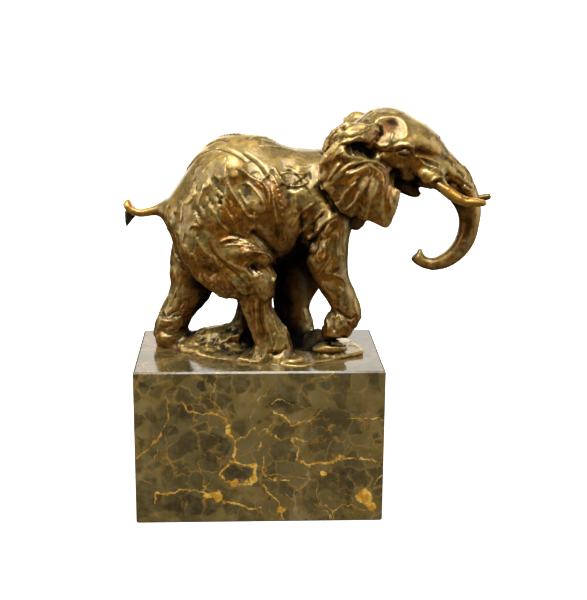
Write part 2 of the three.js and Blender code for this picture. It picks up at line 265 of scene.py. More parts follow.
nearTusk = [
    (62, -12, 128, 4.4, 4.5), (69, -14.5, 123.4, 4.5, 4.5), (75, -16, 118.4, 4.4, 4.3),
    (82, -17, 114, 4.1, 4), (88, -17.2, 112, 3.8, 3.6), (94.5, -16.8, 111.3, 3.2, 3),
    (99.5, -16.2, 111.2, 2.3, 2.2), (101.4, -16, 111.4, 1.1, 1.1)]
farTusk = [
    (62, 12, 127.5, 4.2, 4.4), (69, 14.5, 122.1, 4.1, 4.2), (75.3, 16, 116.8, 3.7, 3.8),
    (82.8, 17, 111.6, 3.4, 3.5), (89.3, 17.2, 109.2, 3.1, 3.1), (97, 16.8, 109.2, 2.5, 2.5),
    (103.5, 16, 110.6, 2.2, 2.4), (105, 15.8, 111, 1.2, 1.4)]
farLobe = [
    (31, 15, 148, 7, 6), (22, 20, 147, 7, 5.8), (11.5, 24, 157.5, 5.4, 8.4), (7, 26, 153.5, 6.5, 8),
    (0, 26, 146, 6, 7), (-3, 26, 139, 4, 5)]
lobe = [
    (26, 17, 155, 7, 6.4), (17, 22, 156.5, 7.5, 6.6), (8, 25, 156, 7.5, 7.6), (0.5, 26, 151, 6, 7),
    (-4.5, 26, 143, 4, 5)]
earRoot = [(28, 17, 156), (30, 19, 146), (34, 19, 134), (38, 17, 124)]
earRim = [
    (12, 26, 155), (0, 30, 150.5), (-8.5, 32.5, 140), (-10.5, 33, 128.5), (-7.5, 33, 120.5),
    (1.5, 32.5, 111.5), (5, 32, 106), (15.5, 31, 101.7), (20, 30.5, 100.7), (29, 29.5, 97),
    (36.5, 28.5, 95), (40.5, 28, 104), (43, 27, 113), (43.5, 25.5, 120)]
earPleats = [  # place along the rim, height in mm
    (0.15, 0.4), (0.235, 0.7), (0.29, 1.3), (0.335, 0.6), (0.385, 1.4), (0.445, 0.8), (0.49, 1.3),
    (0.55, 0.6), (0.605, 1.1), (0.72, 0.3), (0.84, 0.5)]


def headTurned(points):
    # a turn about the upright line through the neck's pivot
    c, s = math.cos(bronzeSettings["headTurn"]), math.sin(bronzeSettings["headTurn"])
    x, y, z = points[..., 0], points[..., 1], points[..., 2]
    return np.stack([c * x - s * y + bronzeSettings["neckPivot"], s * x + c * y, z], -1)


def onHead(shell):
    # a shell worked out in the head's own frame, put in its place on the body
    points, faces = shell
    return headTurned(points), faces


def otherSide(rows):
    # the same places on the left of the animal
    return [(r[0], abs(r[1]), *r[2:]) for r in rows]


def nearSide(rows):
    # the same places on the right of the animal
    return [(r[0], -abs(r[1]), *r[2:]) for r in rows]


def earFlap(side):
    # straight spokes from the root line to the rim, pushed outwards by a half wave along each spoke and
    # by pleats that run with the spokes: each rises slowly from above and falls steeply below
    def at(s, t):
        # s runs from the root out to the rim, t along both
        flat = t.ravel()
        root = throughRows(earRoot, flat).reshape(*t.shape, 3)
        rim = throughRows(earRim, flat).reshape(*t.shape, 3)
        if side > 0:
            rim[..., 2] += 7 * easeBetween(128, 96, rim[..., 2])
        bent = t + 0.02 * np.sin(5 * s)
        pleat = sum(h * np.exp(-((bent - k) / np.where(bent < k, 0.034, 0.012)) ** 2) for k, h in earPleats)
        p = root + (rim - root) * (s * (0.985 + 0.02 * pleat * s))[..., None]
        p[..., 1] += 7.5 * np.sin(np.pi * 0.9 * s) + pleat * easeBetween(0.2, 0.6, s)
        p[..., 1] *= side
        return p

    def thickness(s):
        # mm, thick at the root and thinner in even steps towards the rim
        return 4.2 - 1.8 * s

    return plate(at, thickness, 56, 260)


groundOutline = [
    (-73, 14), (-57, -2), (-41, -16), (-14, -29), (8, -36), (28, -41), (44, -31), (73, -14), (72, 6),
    (58, 26), (34, 38), (0, 36), (-34, 38), (-62, 32)]
mounds = [  # middle x, y, spread x, y, height
    (9, -24, 15, 11, 4), (50, -21, 12, 8, 6.5), (-38, 8, 15, 14, 12), (-18, 8, 12, 12, 13),
    (-8, -2, 9, 9, 9), (31, 14, 13, 12, 7), (43, -1, 10, 9, 15), (-28, -2, 14, 8, 6), (-58, 12, 8, 8, 1)]
sole = [
    (37, -21, 6, 2.5, 1.2), (42, -21, 7, 6, 3), (49, -21.5, 8.5, 8, 4.6), (56, -21, 8, 6.5, 3.6),
    (61, -20, 7, 3, 1.4)]
spur = [(-14, 2, 1, 9, 9), (-12, 2, 14, 8, 8), (-9, 0, 28, 7, 7), (-7, -3, 44, 7, 8), (-5, -8, 58, 8, 9)]


def closedLine(rows, places):
    # the smooth line through the rows, joined from the last back to the first; places run from 0 to 1
    rows = np.asarray(rows, float)
    n = len(rows)
    spot = (places % 1) * n
    i = spot.astype(int)
    f = (spot - i)[:, None]
    a, b, c, d = rows[(i - 1) % n], rows[i % n], rows[(i + 1) % n], rows[(i + 2) % n]
    return b + 0.35 * f * (c - a) + f * f * (3 * (c - b) - 0.7 * (c - a) - 0.35 * (d - b)) \
        + f * f * f * (2 * (b - c) + 0.35 * (c - a) + 0.35 * (d - b))


def ground():
    # rings from the middle to the outline, raised by the mounds' bell shapes, over a flat underside
    sectors, rings = 220, 60
    edge = closedLine(groundOutline, np.arange(sectors) / sectors)
    share = np.linspace(1, 0, rings, endpoint=False)[:, None, None]
    top = edge[None] * share
    x, y = top[..., 0], top[..., 1]
    z = 1.0 + sum(h * np.exp(-((x - a) / c) ** 2 - ((y - b) / d) ** 2) for a, b, c, d, h in mounds)
    top = np.dstack([x, y, z])
    below = np.c_[edge, np.full(sectors, -4.0)][None]
    rows = np.vstack([below, top])
    points = np.vstack([rows.reshape(-1, 3), [[0, 0, -4.0]], [[0, 0, z[-1].mean()]]])
    return points, tubeFaces(rings + 1, sectors)


# flat sheets of clay laid on each other: outline in plan, low z, high z, rise per mm along x and y
leaves = [
    ([(-16, -29), (-4, -33.5), (8, -36.5), (20, -40.5), (29, -42), (36, -38.5), (42, -33), (40, -20),
      (18, -14), (-8, -15)], -3, 2.4, 0.0, 0.16),
    ([(10, -32), (22, -36.5), (31, -34), (26, -26), (13, -26)], 1, 3.8, 0.02, 0.14),
    ([(40, -34.5), (47, -31.5), (60, -23.5), (74, -15), (72.5, -7), (70, 2), (52, 4),
      (36, -14)], -3, 3.2, 0.0, 0.09),
    ([(-58, -2), (-49, -9.5), (-41, -16), (-30, -21), (-16, -28.5), (-10, -18), (-30, -6),
      (-50, 5)], -3, 2.8, 0, 0.24),
    ([(-48, -3), (-40, -10), (-30, -8), (-32, 2), (-42, 6)], 0, 8.5, 0.1, 0.35),
    ([(-36, 0), (-28, -6), (-18, -2), (-20, 8), (-30, 10)], 4, 13.5, 0.2, 0.3),
    ([(-24, -6), (-14, -10), (-7, -4), (-10, 6), (-20, 8)], 6, 16, 0.3, 0.25),
    ([(-44, 6), (-34, 4), (-26, 12), (-32, 22), (-44, 18)], 3, 11.5, 0.18, 0.05),
    ([(-34, 36), (0, 34), (34, 36), (52, 26), (40, 14), (0, 14), (-30, 16)], -3, 6.0, 0.0, -0.1),
    ([(-24, 30), (0, 28), (20, 30), (18, 16), (-10, 14)], 4, 9.0, 0.02, -0.1),
    ([(52, 22), (64, 10), (70, 2), (54, -2), (44, 12)], -3, 5.0, 0.0, 0.0)]


def leaf(row):
    # a flat sheet: the outline's straight sides carried up from low to high, drawn in a little at the
    # top, and leaning by the two rises
    outline, low, high, riseX, riseY = row
    corners = np.array(outline + outline[:1], float)
    t = np.linspace(0, len(outline), 12 * len(outline), endpoint=False)
    k = t.astype(int)
    ring = corners[k] + (corners[k + 1] - corners[k]) * (t - k)[:, None]
    middle = corners[:-1].mean(0)
    ragged = 1 + 0.035 * np.sin(2.3 * ring[:, :1] + low) * np.sin(1.7 * ring[:, 1:])
    flat = (ring - middle)[None] * np.array([0.965, 1.0, 0.975, 0.9])[:, None, None] * ragged
    height = np.array([low, high - 0.7, high, high])[:, None]
    z = height + np.array([0.0, 1, 1, 1])[:, None] * (riseX * flat[..., 0] + riseY * flat[..., 1])
    points = np.dstack([flat + middle, z]).reshape(-1, 3)
    ends = [[*middle, low], [*middle, high]]
    return np.vstack([points, ends]), tubeFaces(4, len(ring))


def bigMasses():
    # body, legs, head, tail and ground, whose joints are filled
    return together([
        limb(torso, facets=72, rings=90, low=0.12, upright=True),
        limb(nearHind), limb(farHind), limb(nearFore), limb(nearForeFoot), limb(farFore), limb(farElbow),
        onHead(limb(skull, rings=120)),
        onHead(limb(jaw)), onHead(limb(nearSide(cheek))), onHead(limb(otherSide(cheek))),
        limb(tail, rings=40),
        limb(spur), ground()])


def thinParts():
    # trunk's finger, tusks, ears and leaves, which a coarse grain would lose
    return together([
        onHead(limb(finger, facets=20, rings=16)),
        onHead(limb(nearTusk, facets=24)), onHead(limb(farTusk, facets=24)),
        onHead(earFlap(-1)), onHead(earFlap(1)),
        onHead(limb(nearSide(lobe))), onHead(limb(farLobe)),
        limb(tuft, facets=20, rings=20), limb(sole), *map(leaf, leaves)])


def modelled():
    # the masses melted together coarsely and their joints filled, then all melted again finely
    masses = pressed(*bigMasses(), bronzeSettings["coarseGrain"])
    points, quads, edges = readSkin(masses)
    points = fillCreases(points, quads, edges, **bronzeSettings["masses"])
    thin, thinFaces = thinParts()
    triangles = np.vstack([quads[:, [0, 1, 2]], quads[:, [0, 2, 3]]])
    return pressed(np.vstack([points, thin]), np.vstack([triangles, thinFaces + len(points)]),
                   bronzeSettings["fineGrain"])


def lattice(places, size, seed):
    # random numbers on a cubic lattice of the given size, blended smoothly between the eight corners
    # around a place; the result runs from -1 to 1
    table = np.random.default_rng(seed).uniform(-1, 1, (32, 32, 32))
    spot = places / size
    low = np.floor(spot).astype(int)
    f = spot - low
    f = f * f * (3 - 2 * f)
    i, j, k = (low[:, 0] % 32, low[:, 1] % 32, low[:, 2] % 32)
    i1, j1, k1 = (i + 1) % 32, (j + 1) % 32, (k + 1) % 32
    u, v, w = f.T
    front = (table[i, j, k] * (1 - u) + table[i1, j, k] * u) * (1 - v)
    front = front + (table[i, j1, k] * (1 - u) + table[i1, j1, k] * u) * v
    back = (table[i, j, k1] * (1 - u) + table[i1, j, k1] * u) * (1 - v)
    back = back + (table[i, j1, k1] * (1 - u) + table[i1, j1, k1] * u) * v
    return front * (1 - w) + back * w


def headFrame(points):
    # the turn of headTurned, undone: forward of the neck's pivot, sideways, up
    c, s = math.cos(bronzeSettings["headTurn"]), math.sin(bronzeSettings["headTurn"])
    x, y = points[:, 0] - bronzeSettings["neckPivot"], points[:, 1]
    return np.stack([c * x + s * y, -s * x + c * y, points[:, 2]], 1)


def easeBetween(low, high, value):
    # 0 below low, 1 above high, and a smooth cubic between them
    f = np.clip((value - low) / (high - low), 0, 1)
    return f * f * (3 - 2 * f)


def surfaceIndex(flat, spots):
    # for each spot, the point nearest to the looker among those within 1.6 mm of it; flat holds the
    # two measures of a spot and, last, the distance towards the looker
    found = []
    for a, z in spots:
        apart = np.hypot(flat[:, 0] - a, flat[:, 1] - z)
        near = np.flatnonzero(apart < max(1.6, apart.min() + 0.2))
        found.append(near[np.argmax(flat[near, 2])])
    return np.array(found)


def drawStroke(points, normals, flat, look, mark):
    # the distance of a point from the stroke's smooth line, across the skin, is d, signed towards the
    # upper side; a ridge adds height * bell(d / width), a crease takes it away and lifts two lips,
    # and a flap adds height on its upper side, fading slowly, and cuts under on its lower side
    kind, width, height, spots = mark
    line = throughRows(points[surfaceIndex(flat, spots)], np.linspace(0, 1, 14 * len(spots)))
    reach = 4.5 * width + 1
    low, high = line.min(0) - reach, line.max(0) + reach
    near = np.flatnonzero(((points > low) & (points < high)).all(1))
    offset = points[near][:, None] - line[None]
    apart = (offset ** 2).sum(2)
    nearest = apart.argmin(1)
    rows = np.arange(len(near))
    offset = offset[rows, nearest]
    along = np.gradient(line, axis=0)
    along /= np.linalg.norm(along, axis=1, keepdims=True) + 1e-9
    normal = normals[near]
    across = np.cross(normal, along[nearest]) * (-1 if look[1] > 0 else 1)
    d = np.einsum("ij,ij->i", offset, across) / width
    share = nearest / (len(line) - 1)
    fade = easeBetween(-0.02, 0.14, share) * easeBetween(-0.02, 0.14, 1 - share)
    overrun = np.einsum("ij,ij->i", offset, along[nearest])
    fade = fade * np.exp(-(overrun / (1.2 * width)) ** 2)
    fade = fade * easeBetween(-0.25, 0.1, normal @ look)
    if kind == "ridge":
        lift = 1.15 * np.exp(-np.abs(1.25 * d) ** 1.4)
    elif kind == "crease":
        lift = -0.7 * np.exp(-1.4 * d * d) - 0.5 * np.exp(-d * d / 6) + 0.15 * np.exp(-(np.abs(d) - 3) ** 2)
    else:
        lift = np.where(d > 0, np.exp(-d / 2.6), np.exp(-6 * d * d)) - 0.5 * np.exp(-(d + 1.1) ** 2)
    points[near] += normal * (height * lift * fade)[:, None]


def pressLump(points, normals, flat, look, mark):
    # a bell shape of the given half widths, raised or sunk along the skin's own normal
    forward, up, halfForward, halfUp, height = mark
    middle = surfaceIndex(flat, [(forward, up)])[0]
    u = (flat[:, 0] - forward) / halfForward
    v = (flat[:, 1] - up) / halfUp
    depth = np.abs(flat[:, 2] - flat[middle, 2]) / (2.2 * max(halfForward, halfUp))
    bell = np.exp(-(u * u + v * v) ** 1.2) * (depth < 1) * easeBetween(-0.15, 0.35, normals @ look)
    near = np.flatnonzero(bell > 0.01)
    points[near] += normals[near] * (0.75 * height * bell[near])[:, None]


flow = [  # forward, up, the marks' slope in degrees from level, x and z of the body
    (-68, 108, -70), (-60, 80, -85), (-52, 135, 50), (-40, 118, -78), (-30, 140, 20), (-22, 112, -58),
    (-5, 150, -4), (-4, 116, -48), (0, 86, -8), (14, 118, -70), (10, 98, -60), (22, 140, -12),
    (28, 108, 62), (38, 96, 55), (46, 92, 60), (54, 80, 88), (44, 66, 60), (54, 50, -52), (58, 40, -55),
    (-14, 72, -35), (-4, 50, -80), (2, 26, -80), (12, 14, 60), (-52, 40, 70), (-60, 20, 10), (28, 40, 85),
    (28, 20, 80), (40, 118, 58), (60, 140, 40), (66, 112, -60), (84, 112, -75), (78, 130, 20),
    (90, 96, -70), (70, 150, 30), (96, 150, -10), (104, 140, -30), (118, 134, -35), (132, 125, 60),
    (140, 100, 88), (134, 75, 60), (118, 66, 8), (-80, 100, 5)]


workings = [  # x and z of the body, how strongly the clay is worked there
    (-66, 112, 0.15), (-56, 128, 0.08), (-40, 140, 0.06), (-20, 150, 0.08), (0, 152, 0.15), (20, 144, 0.2),
    (-50, 108, 0.25), (-60, 88, 0.6), (-44, 84, 0.7), (-32, 114, 0.8), (-26, 100, 0.5), (-12, 120, 0.8),
    (-4, 100, 0.4), (6, 122, 0.6), (12, 104, 0.35), (24, 112, 0.35), (24, 134, 0.5), (34, 122, 0.5),
    (28, 92, 0.5), (40, 100, 0.35), (-16, 80, 0.6), (-4, 66, 0.8), (-2, 40, 0.7), (8, 16, 0.8),
    (46, 82, 0.6), (58, 84, 0.3), (54, 50, 0.35), (54, 22, 0.9), (28, 40, 0.6), (-52, 40, 0.7),
    (-60, 22, 0.9), (-58, 58, 0.5), (60, 158, 0.6), (52, 136, 0.6), (66, 118, 0.5), (88, 106, 0.1),
    (84, 130, 0.3), (92, 156, 0.3), (104, 160, 0.15), (114, 140, 0.4), (130, 128, 0.5), (142, 104, 0.05),
    (136, 78, 0.03), (116, 68, 0.05), (-85, 102, 0.1)]


def workedShare(points):
    # the guides' shares averaged by nearness, and full on the ground
    guides = np.array(workings, float)
    apart = (points[:, None, 0] - guides[None, :, 0]) ** 2 + (points[:, None, 2] - guides[None, :, 1]) ** 2
    weight = 1 / (apart + 20) ** 2
    share = (weight @ guides[:, 2]) / weight.sum(1)
    low = easeBetween(16, 8, points[:, 2])
    return share * (1 - low) + (0.9 - 0.6 * easeBetween(-6, 14, points[:, 0])) * low


def flowAt(points, normals, turn):
    # the slopes of the nearby guides, averaged as doubled angles because a mark has no head or tail,
    # then turned by `turn` and laid into the skin
    guides = np.array(flow, float)
    apart = (points[:, None, 0] - guides[None, :, 0]) ** 2 + (points[:, None, 2] - guides[None, :, 1]) ** 2
    weight = 1 / (apart + 30) ** 2
    doubled = np.radians(2 * guides[:, 2])
    slope = 0.5 * np.arctan2(weight @ np.sin(doubled), weight @ np.cos(doubled)) + turn
    along = np.stack([np.cos(slope), 0.15 * np.sin(3 * slope), np.sin(slope)], 1)
    along -= normals * np.einsum("ij,ij->i", along, normals)[:, None]
    return along / (np.linalg.norm(along, axis=1, keepdims=True) + 1e-9)


def knifeMarks(points, normals, marks, chances, seed):
    # each mark sits on a random point of the skin with its own directions u (along), v (across):
    # inside the patch |u|, |v| < 1 the skin is drawn towards the plane height + tilt u + tilt v by the
    # mark's firmness, and that share falls to nothing over the patch's border
    draw = np.random.default_rng(seed)
    seats = draw.choice(len(points), marks["count"], p=chances / chances.sum())
    turn = draw.normal(0, math.radians(marks["stray"]), len(seats))
    along = flowAt(points[seats], normals[seats], turn)
    length = draw.uniform(*marks["length"], len(seats))
    width = draw.uniform(*marks["width"], len(seats))
    strength = 0.3 + 0.9 * chances[seats]
    height = draw.uniform(*marks["height"], len(seats)) * strength
    tilt = draw.normal(0, marks["tilt"], (len(seats), 2)) * strength[:, None]
    for k, seat in enumerate(seats):
        centre, normal = points[seat].copy(), normals[seat]
        near = np.flatnonzero((np.abs(points - centre) < length[k]).all(1))
        offset = points[near] - centre
        u = offset @ along[k] / length[k]
        v = offset @ np.cross(normal, along[k]) / width[k]
        out = offset @ normal
        share = 1 - easeBetween(0.72, 1.0, np.abs(u) ** 3 + np.abs(v) ** 3)
        share = share * (np.abs(out) < 4) * (normals[near] @ normal > 0.35)
        plane = height[k] + tilt[k, 0] * u + tilt[k, 1] * v
        move = share * (plane - marks["firmness"] * out)
        points[near] += normal * np.clip(move, -marks["most"], marks["most"])[:, None]


clayMarks = {  # mm, all lengths are half lengths
    "broad": {"count": 520, "length": (5, 10), "width": (2.6, 5), "height": (-0.25, 0.1), "tilt": 0.24,
              "stray": 14, "firmness": 0.55, "most": 0.7},
    "small": {"count": 420, "length": (2.4, 6), "width": (1.2, 2.4), "height": (-0.15, 0.18), "tilt": 0.2,
              "stray": 20, "firmness": 0.6, "most": 0.5},
    "welts": {"count": 90, "length": (3, 9), "width": (0.5, 0.8), "height": (0.2, 0.45), "tilt": 0.1,
              "stray": 10, "firmness": 0.0, "most": 0.6},
    "cuts": {"count": 40, "length": (1.5, 4), "width": (0.5, 0.8), "height": (-0.4, -0.2), "tilt": 0.1,
             "stray": 20, "firmness": 0.0, "most": 0.9},
}

# marks listed one by one, on the right of the body: kind, half width, height, and (x, z) places
bodyStrokes = [
    ("ridge", 1.1, 1.02, [(-37.8, 124.6), (-39.6, 117.8), (-41, 111.8), (-38.9, 105.8), (-36.4, 100.6)]),
    ("ridge", 1.0, 0.94, [(-44.8, 104.4), (-42, 99.5), (-39, 94.9)]),
    ("ridge", 0.8, 0.77, [(-48.5, 93), (-46, 96.5), (-42.5, 97), (-39.5, 94)]),
    ("ridge", 0.8, 0.85, [(-34.5, 110.7), (-30, 104.7), (-25.3, 97.8), (-18.5, 92.7)]),
    ("ridge", 1.0, 1.02, [(-23.5, 137), (-22.5, 129), (-20, 121), (-13.4, 111.8), (-7.5, 104),
                          (0.2, 103.2)]),
    ("ridge", 0.9, 0.8, [(-12, 134), (-4.9, 129), (3.6, 124), (7, 116.4), (7.9, 110.4)]),
    ("ridge", 0.8, 0.77, [(-9.9, 125.5), (-4.9, 123), (1.9, 115.5), (3, 111)]),
    ("ridge", 0.7, 0.59, [(-10, 130.5), (-2, 126.5), (3, 121)]),
    ("ridge", 0.8, 0.77, [(8.6, 124), (9.5, 115), (12, 105), (13.8, 94.5)]),
    ("ridge", 0.7, 0.59, [(-14, 121), (-11, 115), (-8, 110)]),
    ("crease", 0.7, 0.38, [(-46, 124), (-43, 128)]),
    ("crease", 0.7, 0.38, [(-42, 126), (-40, 129)]),
    ("crease", 0.8, 0.45, [(-30, 118), (-27, 112), (-26, 106)]),
    ("crease", 0.7, 0.38, [(-36, 118), (-31, 110)]),
    ("crease", 0.7, 0.45, [(-22, 116), (-20, 108), (-17, 102)]),
    ("ridge", 0.8, 0.59, [(-7, 152), (2, 153), (10, 151)]),
    ("ridge", 0.8, 0.59, [(0, 149), (10, 148), (18, 146), (26, 143)]),
    ("ridge", 0.9, 0.94, [(10, 136), (12.3, 132), (14.9, 127), (17.5, 124), (22, 123), (27.7, 123),
                          (33, 126)]),
    ("ridge", 0.7, 0.59, [(15, 131), (21, 131.5), (27, 130), (33, 131)]),
    ("crease", 0.8, 0.6, [(18, 121.5), (23, 120.8), (28, 121)]),
    ("ridge", 1.0, 1.0, [(-27, 85.7), (-20, 88.7), (-11.8, 87.4), (-5, 84.4), (0, 81.6)]),
    ("ridge", 0.7, 0.68, [(-22, 85), (-13, 84.6), (-5, 81.8), (2, 80.4)]),
    ("ridge", 0.6, 0.51, [(-20, 87), (-12, 86), (-6, 83.5)]),
    ("ridge", 2.1, 2.21, [(-12, 78.6), (-5, 79), (3.6, 77), (8.7, 71), (11.6, 64.7), (10.8, 58.5),
                          (9.2, 51.4)]),
    ("crease", 2.0, 1.95, [(-8, 92), (-2, 89), (4, 84), (8.7, 80), (13.9, 70)]),
    ("crease", 0.9, 0.75, [(-35.7, 87), (-32.3, 79.3), (-25.5, 71.4), (-20.4, 66), (-13.6, 60),
                           (-8.5, 54)]),
    ("ridge", 0.8, 0.77, [(-23, 74), (-17, 70), (-13, 69), (-7, 63), (-3, 57)]),
    ("ridge", 0.8, 0.68, [(-44, 88), (-38, 80), (-33, 74)]),
    ("flap", 1.2, 0.78, [(-20, 58), (-17, 54), (-13, 50), (-9, 48), (-6, 49)]),
    ("ridge", 0.8, 0.77, [(-1, 44), (-3, 38), (-3, 30), (-2, 22), (0, 16)]),
    ("ridge", 0.8, 0.77, [(5, 43), (5, 35), (6, 27), (7, 20), (8, 14)]),
    ("crease", 0.9, 0.68, [(2, 46), (1.5, 37), (2, 28), (3, 19)]),
    ("ridge", 0.8, 0.68, [(10, 36), (12, 28), (14, 22)]),
    ("crease", 1.0, 1.05, [(4, 9), (12, 8), (19, 10), (21, 11)]),
    ("flap", 1.6, 1.1, [(30, 82), (34.4, 87.4), (38.6, 93.5), (44.5, 99.5), (51.3, 104)]),
    ("ridge", 1.0, 0.75, [(26, 88), (31, 95), (37, 101), (42, 107.5)]),
    ("ridge", 0.9, 0.6, [(22, 93), (27, 101), (32, 107), (37, 112)]),
    ("ridge", 0.9, 0.85, [(31, 84), (35.5, 90), (40.4, 93.6)]),
    ("crease", 1.1, 0.83, [(30, 91), (36, 98), (42, 104.5)]),
    ("crease", 1.6, 1.5, [(31, 68.6), (33.8, 76.5), (37.2, 83.5), (41.4, 89.6)]),
    ("crease", 1.6, 1.4, [(38, 127), (40.3, 119.5), (46.4, 111), (53.3, 104)]),
    ("ridge", 1.4, 1.19, [(42.7, 90.8), (47.7, 96.8), (52.7, 101)]),
    ("crease", 1.0, 0.75, [(42, 86), (47, 91), (53, 96.5)]),
    ("ridge", 0.9, 0.77, [(41, 84), (43, 78), (42, 72)]),
    ("ridge", 0.7, 0.51, [(60, 96), (58, 88), (58, 78), (59, 70)]),
    ("ridge", 0.7, 0.51, [(54, 92), (53, 82), (54, 72)]),
    ("ridge", 0.9, 0.85, [(50, 64), (54, 62), (58, 59), (61, 54)]),
    ("ridge", 0.8, 0.68, [(38, 79), (38, 74), (40, 70)]),
    ("crease", 0.7, 0.52, [(53, 44.5), (56, 46)]),
    ("crease", 1.4, 1.35, [(50, 37), (55, 34), (61, 31), (65, 30)]),
    ("crease", 0.8, 0.68, [(61, 27), (64, 26)]),
    ("ridge", 1.0, 1.02, [(45.5, 31), (46.5, 26), (45.5, 21)]),
    ("crease", 0.9, 0.9, [(49, 32), (50, 26), (53, 21)]),
    ("crease", 1.5, 1.65, [(43, 15.5), (50, 14.5), (57, 14.5), (61, 16)]),
    ("crease", 0.9, 0.98, [(-71, 27), (-66, 25.5), (-60, 27), (-55, 30)]),
    ("ridge", 1.0, 0.94, [(-72, 22), (-67, 21), (-61, 22.5)]),
    ("crease", 0.9, 0.9, [(-70, 14), (-64, 11.5), (-57, 12), (-51, 15)]),
    ("ridge", 0.8, 0.77, [(-60, 42), (-62, 36), (-64, 31)]),
    ("ridge", 0.8, 0.77, [(-50, 34), (-53, 25), (-53, 17)])]
bodyLumps = [
    (-18, 135, 8, 9, 4.0), (6, 142, 15, 8, -2.0), (0, 110, 6, 6, 1.8), (11.5, 116, 4.5, 12, 1.6),
    (-30, 116, 5, 8, -1.0), (-8, 120, 4, 9, -0.9), (-45, 113, 4, 12, 1.0), (-52, 82, 7, 9, 0.8),
    (-26, 111, 1.4, 1.4, -1.6), (-25, 114, 1.2, 1.2, -1.3), (-57, 101, 1.2, 1.2, -1.2),
    (-56, 87, 1.4, 1.4, -1.3), (-62, 105, 1.3, 1.3, -1.2), (-39, 95, 1.2, 1.2, -1.2),
    (-3, 67.5, 6.5, 4, -5.0), (20, 121.6, 1, 1, -1.4), (24, 120.8, 1, 1, -1.3), (-35, 65, 10, 5.5, -3.6),
    (-68, 19, 4, 3.5, 1.6), (-60, 33, 4, 3, 1.0), (-67, 8, 5, 4, 1.4), (20, 21, 4.5, 4.2, 1.8),
    (40, 72, 7, 8, 2.0), (46, 70, 4.5, 7, 1.0), (47.5, 55, 5, 7, 1.0), (-10, 79, 10, 5, 2.4),
    (4, 74, 5, 5, 2.0), (36, 96, 2.4, 8, -1.8), (28, 100, 2.4, 9, -1.8), (20, 112, 2.6, 9, -1.4),
    (46, 95, 3.5, 5, 1.2), (34, 128, 3, 5, -1.3), (26, 132, 3, 4, 1.0), (22, 96, 5, 10, 1.4),
    (36, 84, 2.4, 6, -2.6), (12, 88, 4, 7, -2.4), (22, 140, 9, 4, 1.4)]

groundStrokes = [  # on the ground, with (x, y) places
    ("crease", 0.6, 0.7, [(40, -31), (54, -23), (69, -13)]),
    ("crease", 0.5, 0.6, [(42, -29.5), (56, -20), (69, -10)]),
    ("ridge", 0.5, 0.5, [(41, -33), (50, -28), (60, -22)]),
    ("crease", 0.6, 0.7, [(14, -30), (24, -28), (33, -24)]),
    ("ridge", 0.7, 0.7, [(0, -30), (12, -31), (24, -35)]),
    ("flap", 0.9, 0.8, [(18, -22), (26, -25), (36, -30)]),
    ("crease", 0.8, 1.0, [(-30, -14), (-20, -20), (-8, -24)]),
    ("ridge", 0.7, 0.8, [(-44, -8), (-34, -14), (-24, -18)]),
    ("crease", 0.8, 1.0, [(-38, -4), (-28, -7), (-20, -12)]),
    ("flap", 0.9, 0.9, [(-52, 0), (-42, -8), (-34, -12)]),
    ("ridge", 0.7, 0.8, [(-30, 4), (-20, 0), (-12, -4)]),
    ("crease", 0.7, 0.9, [(-10, -20), (0, -24), (8, -30)])]

